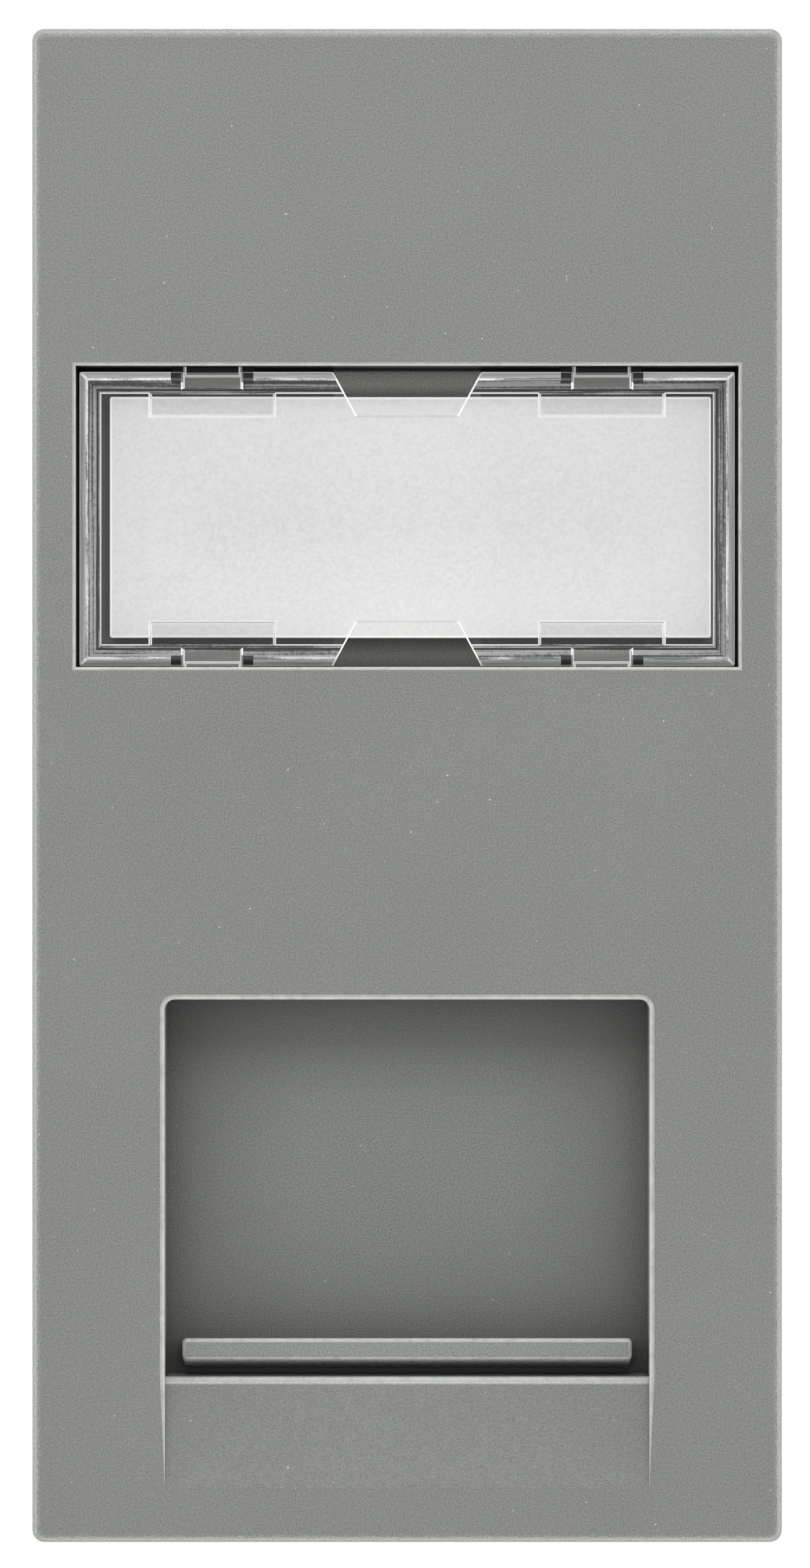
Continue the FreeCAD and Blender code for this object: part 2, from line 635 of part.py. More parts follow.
def make_label_window():
    body = new_body("label_window", "0", FACE, "pocket_rise - window_drop")
    tray = add(
        body, "tray", FRONT,
        [rect(f"-{WINDOW_X}", WINDOW_X, f"-{WINDOW_Z}", WINDOW_Z)],
        "window_sink", WINDOW_BACK,
    )
    rim = edges_of(tray, lambda box: near(box.YMax, "window_sink"))
    dress(body, "Chamfer", "bevel", tray, rim, "window_bevel")
    cut(
        body, "hollow", FRONT,
        [rect(
            f"-({WINDOW_X} - window_skirt)", f"{WINDOW_X} - window_skirt",
            f"-({WINDOW_Z} - window_skirt)", f"{WINDOW_Z} - window_skirt",
        )],
        "window_sink + window_plate", WINDOW_BACK,
    )
    pads = []
    grooves = []
    for sign in ("", "-"):
        edge = f"{sign}{WINDOW_Z}"
        pad_end = f"{sign}({WINDOW_Z} - press_reach)"
        groove_end = f"{sign}({WINDOW_Z} - snap_groove)"
        pads += both_sides(f"{SNAP_X} - press_width / 2", f"{SNAP_X} + press_width / 2", pad_end, edge)
        grooves += both_sides(f"{SNAP_X} - snap_width / 2", f"{SNAP_X} + snap_width / 2", groove_end, edge)
    add(body, "pads", FRONT, pads, "window_sink + window_plate / 2", PAD_BACK)
    cut(body, "snap_grooves", FRONT, grooves, "0", HOOK_TOP)
    # Each hook slopes away towards the pocket floor, so that it slides in and then holds.
    for side, start, end in (
        ("right", f"{SNAP_X} - snap_width / 2", f"{SNAP_X} + snap_width / 2"),
        ("left", f"-({SNAP_X} + snap_width / 2)", f"-({SNAP_X} - snap_width / 2)"),
    ):
        add(
            body, f"hooks_{side}", SIDE,
            [
                [
                    (HOOK_TOP, f"{sign}({WINDOW_Z} - press_reach)"),
                    (HOOK_TOP, f"{sign}({WINDOW_Z} + snap_reach)"),
                    (f"{HOOK_TOP} + snap_land", f"{sign}({WINDOW_Z} + snap_reach)"),
                    (WINDOW_BACK, f"{sign}{WINDOW_Z}"),
                    (WINDOW_BACK, f"{sign}({WINDOW_Z} - window_skirt)"),
                    (PAD_BACK, f"{sign}({WINDOW_Z} - window_skirt)"),
                    (PAD_BACK, f"{sign}({WINDOW_Z} - press_reach)"),
                ]
                for sign in ("", "-")
            ],
            start, end,
        )
    cut(
        body, "notches", FRONT,
        [
            [
                ("-notch_mouth / 2", f"{sign}{WINDOW_Z}"),
                ("notch_mouth / 2", f"{sign}{WINDOW_Z}"),
                ("notch_root / 2", f"{sign}({WINDOW_Z} - notch_depth)"),
                ("-notch_root / 2", f"{sign}({WINDOW_Z} - notch_depth)"),
            ]
            for sign in ("", "-")
        ],
        "0", "pocket_depth",
    )


def make_label_card():
    body = new_body("label_card", "card_shift", FACE, "pocket_rise")
    add(
        body, "sheet", FRONT,
        [rect("-card_width / 2", "card_width / 2", "-card_height / 2", "card_height / 2")],
        "pocket_depth - card_thickness", "pocket_depth",
    )


def make_shutter():
    body = new_body("shutter")
    add(
        body, "plate", FRONT,
        [rect(f"-{SHUTTER_X}", SHUTTER_X, SHUTTER_LOW, SHUTTER_HIGH)],
        SHUTTER_FRONT, SHUTTER_BACK,
    )
    ledge_front = f"({FACE} + ledge_sink)"
    ledge_high = f"({PORT_LOW} + ledge_lift)"
    ledge = add(
        body, "ledge", SIDE,
        [[
            (ledge_front, ledge_high),
            (ledge_front, f"{ledge_high} - ledge_thickness"),
            (f"{SHUTTER_FRONT} + shutter_thickness / 2", f"{ledge_high} - ledge_thickness - ledge_flare"),
            (f"{SHUTTER_FRONT} + shutter_thickness / 2", ledge_high),
        ]],
        "-ledge_width / 2", "ledge_width / 2",
    )
    ends = edges_of(
        ledge,
        lambda box: box.YLength > 1.5 and box.XLength < 0.01 and near(box.YMin, ledge_front),
    )
    ends_rounded = dress(body, "Fillet", "ledge_ends", ledge, ends, "ledge_round")
    front = edges_of(ends_rounded, lambda box: near(box.YMax, ledge_front))
    dress(body, "Fillet", "ledge_front", ends_rounded, front, "ledge_round * 0.9")
    add(
        body, "spring_seat", FRONT,
        [rect("-seat_width / 2", "seat_width / 2", f"{SHUTTER_HIGH} - seat_height", SHUTTER_HIGH)],
        SHUTTER_FRONT, SPRING_BACK,
    )
    add(
        body, "spring_peg", PLAN,
        [("0", SPRING_Y, "peg_diameter")],
        SHUTTER_HIGH, f"{SHUTTER_HIGH} + peg_length",
    )


def make_return_spring():
    path = doc.addObject("Part::Helix", "return_spring_path")
    path.setExpression("Radius", bound("(spring_diameter - spring_wire) / 2"))
    path.setExpression("Height", bound("spring_length - spring_wire * 1.2"))
    path.setExpression("Pitch", bound("(spring_length - spring_wire * 1.2) / spring_turns"))
    path.setExpression("Placement.Base.y", bound(SPRING_Y))
    path.setExpression("Placement.Base.z", bound(f"{SHUTTER_HIGH} + spring_wire * 0.6"))
    # Six flats stand in for the round wire, to keep the mesh light.
    section = doc.addObject("Part::RegularPolygon", "return_spring_section")
    section.Polygon = 6
    section.setExpression("Circumradius", bound("spring_wire / 2"))
    section.Placement = Placement(Vector(0, 0, 0), Rotation(Vector(1, 0, 0), 90))
    section.setExpression("Placement.Base.x", bound("(spring_diameter - spring_wire) / 2"))
    section.setExpression("Placement.Base.y", bound(SPRING_Y))
    section.setExpression("Placement.Base.z", bound(f"{SHUTTER_HIGH} + spring_wire * 0.6"))
    spring = doc.addObject("Part::Sweep", "return_spring")
    spring.Label = "return_spring"
    spring.Sections = [section]
    spring.Spine = (path, [])
    spring.Solid = True
    spring.Frenet = True
    doc.recompute()
    finished.append(spring)


def make_rear_carrier():
    body = new_body("rear_carrier")
    add(
        body, "plate", FRONT,
        [rect(f"-{CARRIER_X}", CARRIER_X, f"-({INNER_Z} - carrier_clearance)", CARRIER_HIGH)],
        CARRIER_FRONT, CARRIER_BACK,
    )
    hole_x = f"({JACK_X} + jack_clearance)"
    hole_low = f"({PLUG_Z} - jack_floor - jack_clearance)"
    hole_high = f"({PLUG_Z} + {ARM_HIGH} + jack_clearance)"
    add(
        body, "sleeve", FRONT,
        [rect(
            f"-({hole_x} + sleeve_wall)", f"{hole_x} + sleeve_wall",
            f"{hole_low} - sleeve_wall", f"{hole_high} + sleeve_wall",
        )],
        CARRIER_BACK, SLEEVE_END,
    )
    cut(
        body, "jack_hole", FRONT,
        [rect(f"-{hole_x}", hole_x, hole_low, hole_high)],
        CARRIER_FRONT, SLEEVE_END,
    )
    channel = "(seat_width / 2 + slide_clearance)"
    cut(
        body, "spring_channel", FRONT,
        [rect(f"-{channel}", channel, hole_high, SPRING_HIGH)],
        CARRIER_FRONT, f"{SPRING_BACK} + slide_clearance",
    )
    add(
        body, "spring_stop", FRONT,
        [rect("-seat_width / 2", "seat_width / 2", SPRING_HIGH, CARRIER_HIGH)],
        f"{POCKET_BACK} + slide_clearance", CARRIER_BACK,
    )
    add(
        body, "spring_peg", PLAN,
        [("0", SPRING_Y, "peg_diameter")],
        f"{SPRING_HIGH} - peg_length", SPRING_HIGH,
    )
    nub_front = f"({CARRIER_FRONT} + nub_inset)"
    nub_back = f"({CARRIER_BACK} - nub_inset)"
    for level, height in (("high", NUB_HIGH_Z), ("low", NUB_LOW_Z)):
        add(
            body, f"nubs_{level}", PLAN,
            [
                [
                    (f"{sign}({CARRIER_X} - nub_reach)", nub_front),
                    (f"{sign}{CARRIER_X}", nub_front),
                    (f"{sign}({CARRIER_X} + nub_reach)", f"{nub_front} + nub_reach"),
                    (f"{sign}({CARRIER_X} + nub_reach)", nub_back),
                    (f"{sign}({CARRIER_X} - nub_reach)", nub_back),
                ]
                for sign in ("", "-")
            ],
            f"{height} - nub_length / 2", f"{height} + nub_length / 2",
        )
    hook_front = f"({JACK_FRONT} + arm_hook_start - latch_play)"
    hook_back = f"({JACK_FRONT} + arm_hook_start + arm_hook_length + latch_play)"
    cut(
        body, "latch_window", FRONT,
        [rect(
            "-arm_width / 2 - latch_play", "arm_width / 2 + latch_play",
            hole_high, f"{hole_high} + sleeve_wall",
        )],
        hook_front, hook_back,
    )
    cut(
        body, "lug_window", FRONT,
        [rect(
            "-lug_width / 2 - latch_play", "lug_width / 2 + latch_play",
            f"{hole_low} - sleeve_wall", hole_low,
        )],
        f"{JACK_FRONT} + lug_start - latch_play", f"{JACK_FRONT} + lug_start + lug_length + latch_play",
    )


def plug_outline(grown):
    """The plug cavity's outline with its stepped latch slot, grown on all sides."""
    plug_x = f"(plug_width / 2 + {grown})"
    key_x = f"(key_width / 2 + {grown})"
    catch_x = f"(catch_width / 2 + {grown})"
    plug_high = f"plug_height / 2 + {grown}"
    plug_low = f"-plug_height / 2 - {grown}"
    key_low = f"{plug_low} - key_height"
    catch_low = f"{key_low} - catch_height"
    right = [
        (plug_x, plug_high), (plug_x, plug_low), (key_x, plug_low), (key_x, key_low),
        (catch_x, key_low), (catch_x, catch_low),
    ]
    return right + [(f"-{u}", v) for u, v in reversed(right)]


def make_jack_housing():
    body = new_body("jack_housing", "0", JACK_FRONT, PLUG_Z)
    nose = add(
        body, "nose", FRONT,
        [rect(f"-{JACK_X}", JACK_X, "-jack_floor", "jack_roof")],
        "0", "jack_depth",
    )
    rim = edges_of(nose, lambda box: near(box.YMax, "0"))
    dress(body, "Chamfer", "nose_edge", nose, rim, "jack_edge")
    shoulder_front = f"({SLEEVE_END} + jack_stop - {JACK_FRONT})"
    add(
        body, "shoulders", FRONT,
        [rect(f"-{SHOULDER_X}", SHOULDER_X, "-jack_floor", "jack_roof")],
        shoulder_front, "jack_depth",
    )
    add(
        body, "arm", SIDE,
        [[
            ("arm_front", "jack_roof"),
            ("arm_front + arm_root", "jack_roof"),
            ("arm_front + arm_root", ARM_LOW),
            ("jack_depth", ARM_LOW),
            ("jack_depth", f"{ARM_HIGH} + arm_tab"),
            ("jack_depth - arm_tab_thickness", f"{ARM_HIGH} + arm_tab"),
            ("jack_depth - arm_tab_thickness", ARM_HIGH),
            ("arm_hook_start + arm_hook_length", ARM_HIGH),
            ("arm_hook_start + arm_hook_length", f"{ARM_HIGH} + arm_hook"),
            ("arm_hook_start + arm_hook_length * 0.7", f"{ARM_HIGH} + arm_hook"),
            ("arm_hook_start", ARM_HIGH),
            ("arm_front", ARM_HIGH),
        ]],
        "-arm_width / 2", "arm_width / 2",
    )
    add(
        body, "lug", FRONT,
        [rect("-lug_width / 2", "lug_width / 2", "-jack_floor - lug_height", "-jack_floor + lug_height")],
        "lug_start", "lug_start + lug_length",
    )
    add(
        body, "beads", PLAN,
        [
            [
                (f"{sign}({SHOULDER_X} - bead_reach)", STRAP_BEAD),
                (f"{sign}({SHOULDER_X} + bead_reach)", STRAP_BEAD),
                (f"{sign}({SHOULDER_X} + bead_reach)", f"{STRAP_BEAD} + bead_length / 3"),
                (f"{sign}{SHOULDER_X}", f"{STRAP_BEAD} + bead_length"),
                (f"{sign}({SHOULDER_X} - bead_reach)", f"{STRAP_BEAD} + bead_length"),
            ]
            for sign in ("", "-")
        ],
        "-bead_width / 2", "bead_width / 2",
    )
    cut(body, "plug_cavity", FRONT, [plug_outline("0")], "0", "plug_depth")
    cut_loft(body, "plug_mouth", FRONT, [
        ("0", plug_outline("plug_lead")),
        ("plug_lead", plug_outline("0")),
    ])
    bay_x = "(comb_width / 2 + comb_play)"
    gap_x = f"({bay_x} - comb_ledge)"
    ledge = f"({COMB_LOW} - comb_play / 2)"
    cut(
        body, "comb_bay", FRONT,
        [[
            (f"-{bay_x}", f"{COMB_HIGH} + comb_play"), (bay_x, f"{COMB_HIGH} + comb_play"),
            (bay_x, ledge), (gap_x, ledge),
            (gap_x, "plug_height / 2 - comb_play"), (f"-{gap_x}", "plug_height / 2 - comb_play"),
            (f"-{gap_x}", ledge), (f"-{bay_x}", ledge),
        ]],
        "bay_front", "jack_depth",
    )


def make_contact_comb():
    body = new_body("contact_comb", "0", JACK_FRONT, PLUG_Z)
    middle = "(contact_run - contact_bend)"
    back = "jack_depth - comb_play"
    sketch = new_sketch(body, "contact_comb_bar_sketch", SIDE, "-comb_width / 2")
    corners = [
        ("contact_nose", COMB_LOW), (back, COMB_LOW),
        (back, COMB_TOP), ("contact_nose", COMB_TOP),
    ]
    points = [Vector(number(u), number(v), 0) for u, v in corners]
    for index in range(3):
        sketch.addGeometry(Part.LineSegment(points[index], points[index + 1]), False)
    tip = Vector(number("contact_nose") - number(COMB_RADIUS), number(middle), 0)
    sketch.addGeometry(Part.Arc(points[3], tip, points[0]), False)
    for index in range(2):
        sketch.addConstraint(Sketcher.Constraint("Coincident", index, 2, index + 1, 1))
    for index in range(3):
        hold(sketch, index, 1, *corners[index])
    hold(sketch, 2, 2, *corners[3])
    sketch.addConstraint(Sketcher.Constraint("Coincident", 2, 2, 3, 1))
    sketch.addConstraint(Sketcher.Constraint("Coincident", 3, 2, 0, 1))
    hold_along(sketch, "DistanceX", 3, 3, "contact_nose")
    extrude(body, "PartDesign::Pad", "bar", sketch, SIDE, "-comb_width / 2", "comb_width / 2")
    ridge = add(
        body, "ridge", FRONT,
        [rect(
            "-4 * contact_pitch - comb_ridge / 2", "-4 * contact_pitch + comb_ridge / 2",
            f"{COMB_TOP} - comb_ridge / 2", COMB_HIGH,
        )],
        "contact_nose + contact_bend", back,
    )
    pattern(body, "ridges", ridge, "X_Axis", 9, "8 * contact_pitch")


def make_contact(index):
    body = new_body(
        f"contact_{index}", f"({index} - 4.5) * contact_pitch", JACK_FRONT, PLUG_Z,
    )
    tail = f"{BOARD_BACK} + contact_tail"
    wire = profile(
        body, f"contact_{index}_wire", FRONT, tail,
        [rect(
            "-contact_wire / 2", "contact_wire / 2",
            "contact_run - contact_wire / 2", "contact_run + contact_wire / 2",
        )],
    )
    path = new_sketch(body, f"contact_{index}_path", SIDE, "0")
    start = (tail, "contact_run")
    bend = ("contact_nose", "contact_run")
    leave = (
        "contact_nose - contact_bend * sin(contact_slope)",
        "contact_run - contact_bend - contact_bend * cos(contact_slope)",
    )
    end = (
        f"{leave[0]} + contact_reach * cos(contact_slope)",
        f"{leave[1]} - contact_reach * sin(contact_slope)",
    )
    marks = [Vector(number(u), number(v), 0) for u, v in (start, bend, leave, end)]
    nose = Vector(
        number("contact_nose - contact_bend"), number("contact_run - contact_bend"), 0
    )
    path.addGeometry(Part.LineSegment(marks[0], marks[1]), False)
    path.addGeometry(Part.Arc(marks[1], nose, marks[2]), False)
    path.addGeometry(Part.LineSegment(marks[2], marks[3]), False)
    hold(path, 0, 1, *start)
    hold(path, 0, 2, *bend)
    path.addConstraint(Sketcher.Constraint("Coincident", 0, 2, 1, 1))
    path.addConstraint(Sketcher.Constraint("Coincident", 1, 2, 2, 1))
    hold(path, 2, 1, *leave)
    hold(path, 2, 2, *end)
    measure(path, "Radius", 1, "contact_bend")
    pipe = body.newObject("PartDesign::AdditivePipe", f"contact_{index}_pipe")
    pipe.Profile = wire
    pipe.Spine = (path, ["Edge1", "Edge2", "Edge3"])
    doc.recompute()


def make_circuit_board():
    body = new_body("circuit_board", "0", JACK_FRONT, PLUG_Z)
    add(
        body, "board", FRONT,
        [rect(
            f"-({SHOULDER_X} - board_margin - board_play)", f"{SHOULDER_X} - board_margin - board_play",
            "-jack_floor + board_margin + board_play", "jack_roof - board_margin - board_play",
        )],
        "jack_depth", BOARD_BACK,
    )
    hole = cut(
        body, "contact_hole", FRONT,
        [drilled("-3.5 * contact_pitch", "contact_run", "board_hole")],
        "jack_depth", BOARD_BACK,
    )
    pattern(body, "contact_holes", hole, "X_Axis", 8, "7 * contact_pitch")
    pins = cut(
        body, "pin_hole", FRONT,
        [
            drilled("-1.5 * row_pitch", "row_height", "board_hole"),
            drilled("-1.5 * row_pitch", "-row_height", "board_hole"),
        ],
        "jack_depth", BOARD_BACK,
    )
    pattern(body, "pin_holes", pins, "X_Axis", 4, "3 * row_pitch")


def make_idc_block():
    body = new_body("idc_block", "0", JACK_FRONT, PLUG_Z)
    add(
        body, "block", FRONT,
        [rect(f"-{SHOULDER_X}", SHOULDER_X, "-jack_floor", "jack_roof")],
        "jack_depth", BLOCK_BACK,
    )
    cut(
        body, "board_recess", FRONT,
        [rect(
            f"-({SHOULDER_X} - board_margin)", f"{SHOULDER_X} - board_margin",
            "-jack_floor + board_margin", "jack_roof - board_margin",
        )],
        "jack_depth", BOARD_BACK,
    )
    relief = "contact_wire"
    cut(
        body, "tail_relief", FRONT,
        [rect(
            f"-4 * contact_pitch - {relief}", f"4 * contact_pitch + {relief}",
            f"contact_run - {relief}", f"contact_run + {relief}",
        )],
        BOARD_BACK, f"{BOARD_BACK} + contact_tail + {relief}",
    )
    cut(
        body, "wire_channel", FRONT,
        [rect("-channel_width / 2", "channel_width / 2", "-channel_height / 2", "channel_height / 2")],
        BLOCK_FLOOR, BLOCK_BACK,
    )
    slots = cut(
        body, "wire_slot", FRONT,
        [
            rect(
                "-1.5 * row_pitch - wire_slot / 2", "-1.5 * row_pitch + wire_slot / 2",
                "-jack_floor", "jack_roof",
            ),
        ],
        BLOCK_FLOOR, BLOCK_BACK,
    )
    pattern(body, "wire_slots", slots, "X_Axis", 4, "3 * row_pitch")
    forks = cut(
        body, "fork_slot", FRONT,
        [
            rect(
                "-1.5 * row_pitch - fork_width / 2 - fork_play",
                "-1.5 * row_pitch + fork_width / 2 + fork_play",
                f"{height} - fork_thickness / 2 - fork_play",
                f"{height} + fork_thickness / 2 + fork_play",
            )
            for height in ("row_height", "-row_height")
        ],
        FORK_SHOULDER, BLOCK_BACK,
    )
    pattern(body, "fork_slots", forks, "X_Axis", 4, "3 * row_pitch")
    pins = cut(
        body, "pin_slot", FRONT,
        [
            rect(
                "-1.5 * row_pitch - pin_width / 2 - fork_play",
                "-1.5 * row_pitch + pin_width / 2 + fork_play",
                f"{height} - fork_thickness / 2 - fork_play",
                f"{height} + fork_thickness / 2 + fork_play",
            )
            for height in ("row_height", "-row_height")
        ],
        BOARD_BACK, FORK_SHOULDER,
    )
    pattern(body, "pin_slots", pins, "X_Axis", 4, "3 * row_pitch")
    # Straps reach forward over the jack's shoulders and catch on its nubs.
    strap_near = f"({SHOULDER_X} + strap_play)"
    strap_far = f"({strap_near} + strap_thickness)"
    add(
        body, "straps", PLAN,
        [
            [
                (f"{sign}{strap_near}", "jack_depth - strap_length"),
                (f"{sign}{strap_far}", "jack_depth - strap_length"),
                (f"{sign}{strap_far}", BOARD_BACK),
                (f"{sign}{SHOULDER_X}", f"{BOARD_BACK} + strap_thickness"),
                (f"{sign}({SHOULDER_X} - board_margin / 2)", f"{BOARD_BACK} + strap_thickness"),
                (f"{sign}({SHOULDER_X} - board_margin / 2)", "jack_depth"),
                (f"{sign}{strap_near}", "jack_depth"),
            ]
            for sign in ("", "-")
        ],
        "-strap_height / 2", "strap_height / 2",
    )
    cut(
        body, "strap_windows", SIDE,
        [rect(
            f"{STRAP_BEAD} - strap_play", f"{STRAP_BEAD} + bead_length + strap_play",
            "-bead_width / 2 - strap_play", "bead_width / 2 + strap_play",
        )],
        f"-{strap_far}", strap_far,
    )
    add(
        body, "cap_beads", PLAN,
        [
            [
                (f"{sign}({SHOULDER_X} - bead_reach)", CAP_BEAD),
                (f"{sign}({SHOULDER_X} + bead_reach)", CAP_BEAD),
                (f"{sign}({SHOULDER_X} + bead_reach)", f"{CAP_BEAD} + bead_length / 3"),
                (f"{sign}{SHOULDER_X}", f"{CAP_BEAD} + bead_length"),
                (f"{sign}({SHOULDER_X} - bead_reach)", f"{CAP_BEAD} + bead_length"),
            ]
            for sign in ("", "-")
        ],
        "-bead_width / 2", "bead_width / 2",
    )


def make_idc_terminal(index):
    column = (index - 1) % 4
    sign = "" if index <= 4 else "-"
    body = new_body(
        f"idc_terminal_{index}", f"({column} - 1.5) * row_pitch", JACK_FRONT,
        f"{PLUG_Z} + {sign}row_height",
    )
    tip = f"({BLOCK_BACK} - fork_setback)"
    right = [
        ("pin_width / 2", "jack_depth + pin_setback"),
        ("pin_width / 2", FORK_SHOULDER),
        ("fork_width / 2", FORK_SHOULDER),
        ("fork_width / 2", tip),
        ("fork_mouth / 2", tip),
        ("fork_slot / 2", f"{tip} - fork_mouth_depth"),
        ("fork_slot / 2", f"{tip} - fork_slot_depth"),
    ]
    left = [(f"-{u}", v) for u, v in reversed(right)]
    add(body, "fork", PLAN, [right + left], "-fork_thickness / 2", "fork_thickness / 2")


def make_wire_cap():
    body = new_body("wire_cap", "0", JACK_FRONT, PLUG_Z)
    arm_far = f"({CAP_ARM_X} + cap_arm)"
    cap_back = f"({CAP_FRONT} + cap_plate)"
    plate = add(
        body, "plate", FRONT,
        [rect(f"-{arm_far}", arm_far, "-jack_floor", "jack_roof")],
        CAP_FRONT, cap_back,
    )
    corners = edges_of(plate, lambda box: near(box.YLength, "cap_plate"))
    rounded = dress(body, "Fillet", "corners", plate, corners, "cap_corner")
    rim = edges_of(rounded, lambda box: near(box.YMin, cap_back))
    dress(body, "Chamfer", "bevel", rounded, rim, "cap_edge")
    cut(body, "cable_hole", FRONT, [("0", "0", "cable_hole")], CAP_FRONT, cap_back)
    add(
        body, "arms", FRONT,
        both_sides(CAP_ARM_X, arm_far, "-cap_arm_height / 2", "cap_arm_height / 2"),
        f"{cap_back} - cap_arm_length", f"{CAP_FRONT} + cap_plate / 4",
    )
    cut(
        body, "arm_windows", SIDE,
        [rect(
            f"{CAP_BEAD} - strap_play", f"{CAP_BEAD} + bead_length + strap_play",
            "-bead_width / 2 - strap_play", "bead_width / 2 + strap_play",
        )],
        f"-{arm_far}", arm_far,
    )
    rib_low = "(row_height + cap_rib_start)"
    ribs = add(
        body, "rib", FRONT,
        [
            rect(
                "-1.5 * row_pitch - cap_rib / 2", "-1.5 * row_pitch + cap_rib / 2", low, high,
            )
            for low, high in (
                (rib_low, f"{rib_low} + cap_rib_height"),
                (f"-({rib_low} + cap_rib_height)", f"-{rib_low}"),
            )
        ],
        f"{CAP_FRONT} - cap_rib_depth", f"{CAP_FRONT} + cap_plate / 4",
    )
    pattern(body, "ribs", ribs, "X_Axis", 4, "3 * row_pitch")


make_front_frame()
make_label_window()
make_label_card()
make_shutter()
make_return_spring()
make_rear_carrier()
make_jack_housing()
make_contact_comb()
for contact in range(1, 9):
    make_contact(contact)
make_circuit_board()
make_idc_block()
for terminal in range(1, 9):
    make_idc_terminal(terminal)
make_wire_cap()
doc.recompute()

for item in doc.Objects:
    if "Invalid" in item.State or "Error" in item.State:
        raise RuntimeError(f"{item.Label} did not recompute")
for piece in finished:
    if piece.Shape.isNull() or not piece.Shape.isValid() or len(piece.Shape.Solids) != 1:
        raise RuntimeError(f"{piece.Label} is not one valid solid")

os.makedirs("parts", exist_ok=True)
for piece in finished:
    piece.Shape.exportStep(f"parts/{piece.Label}.step")
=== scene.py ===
import json
import math

import bmesh
import bpy
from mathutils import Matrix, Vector

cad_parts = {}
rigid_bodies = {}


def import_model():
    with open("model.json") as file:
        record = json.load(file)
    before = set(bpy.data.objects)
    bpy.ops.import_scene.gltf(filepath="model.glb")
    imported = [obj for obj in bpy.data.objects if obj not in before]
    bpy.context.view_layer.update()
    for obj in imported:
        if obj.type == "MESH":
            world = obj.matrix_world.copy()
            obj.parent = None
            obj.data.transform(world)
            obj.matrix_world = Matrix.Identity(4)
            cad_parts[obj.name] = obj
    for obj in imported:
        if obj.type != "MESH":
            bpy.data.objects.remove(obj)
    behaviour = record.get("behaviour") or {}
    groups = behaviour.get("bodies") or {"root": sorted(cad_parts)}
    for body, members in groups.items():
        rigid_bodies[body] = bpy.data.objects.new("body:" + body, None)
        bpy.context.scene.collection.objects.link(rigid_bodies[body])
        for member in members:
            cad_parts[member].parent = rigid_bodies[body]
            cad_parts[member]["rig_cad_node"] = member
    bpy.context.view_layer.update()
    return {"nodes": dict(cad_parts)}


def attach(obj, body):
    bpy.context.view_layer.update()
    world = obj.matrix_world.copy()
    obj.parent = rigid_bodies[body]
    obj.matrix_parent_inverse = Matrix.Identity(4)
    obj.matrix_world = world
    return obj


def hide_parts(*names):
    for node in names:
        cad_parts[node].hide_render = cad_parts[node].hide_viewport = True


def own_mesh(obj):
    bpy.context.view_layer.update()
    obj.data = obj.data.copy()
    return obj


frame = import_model()

# Ethernet socket module in the part's own frame: +X right, +Y back, +Z up, face towards -Y.
# Sizes and places are in millimetres, and MM makes them metres where something is made.
MM = 0.001
FACE_Y = -2.0
FACE_BOTTOM = -22.5

# The camera looks straight at the face, and its picture takes in this height of the face's plane.
PICTURE_HEIGHT = 46.59
PICTURE_CENTRE = (-0.063, 0.045)
LENS = 250.0
SENSOR = 36.0

# Light from all round, where 1 alone would render a colour as it is written. The lamps give the rest.
FILL_LIGHT = 0.56
WHITE = (1.0, 1.0, 1.0, 1.0)

# The floor gives back this share of the light.
FLOOR_SHARE = 0.8
FLOOR_SIZE = 4000.0

# The long soft lamps beside the face, and the colour of all the lamps.
STRIP_DISTANCE = 200.0
STRIP_LENGTH = 300.0
WARM_WHITE = "#FFFEFA"

# The clear tray over the label, without its hooks: its size, the back of its wall and of its pads, the
# painted shade line along its wall, and its fingernail notches.
TRAY_HALF_WIDTH = 9.75
TRAY_HALF_HEIGHT = 4.375
TRAY_CENTRE = 7.93
TRAY_BACK = -0.33
TRAY_PAD = -0.58
WALL_SHADE_LINE = 0.52
WALL_SHADE_LINE_HALF_WIDTH = 0.035
NOTCH_HALF_WIDTH = 2.2
NOTCH_DEPTH = 1.3

# The tray's hooks, the slots that they snap into, and the painted glints at their roots and corners.
HOOK_CENTRE = 5.8
HOOK_HALF_WIDTH = 0.875
HOOK_PLAY = 0.35
SLOT_DEPTH = 0.32
HOOK_GLINT = 0.11
HOOK_GLINT_HALF_WIDTH = 0.04
HOOK_CORNER_HALF_WIDTH = 0.1

# From the first to the second of these distances inside the tray's edge, the dark of the narrow gap round it
# gives way to full light. In a notch they lie farther out, and this much light is added at the bottom and at
# the top of the tray.
GAP_FADE = (-0.02, 0.06)
NOTCH_SHIFT = 0.1
NOTCH_LIGHT = (0.41, 2.3)

# The painted glow on the paper's border, from its brightest to its plain part, as distances inside the
# tray's edge.
PAPER_BORDER = (1.0, 3.6)

# A painted highlight brightens the top of the scoop, from the first of these heights to the second.
SCOOP_HIGHLIGHT = (-17.84, -17.78)
HIGHLIGHT_GAIN = 2.5

# Widths of the features in the patterns.
DUST_WIDTH = 0.12
FLOW_WIDTH = 5.0
SCRATCH_WIDTH = 0.09
FIBRE_WIDTH = 0.1
WIRE_MARK_WIDTH = 0.05
WEAVE_WIDTH = 0.5

# How much the flow of the melt counts beside the grain, and scratches beside the flow lines in the acrylic.
FLOW_SHARE = 0.08
SCRATCH_SHARE = 0.25

# How far the grain changes the roughness of a plastic, and how strongly the plastics bend the light.
ROUGHNESS_SPREAD = 0.05
PLASTIC_IOR = 1.53
ACRYLIC_IOR = 1.49

# Corners closer than this are one, and the angles that tell flat faces, sharp edges and facets apart.
WELD = 0.0005
FLAT_ANGLE = math.radians(0.5)
FACET_ANGLE = math.radians(5)
SHARP_ANGLE = math.radians(35)
SMOOTH_ANGLE = math.radians(40)


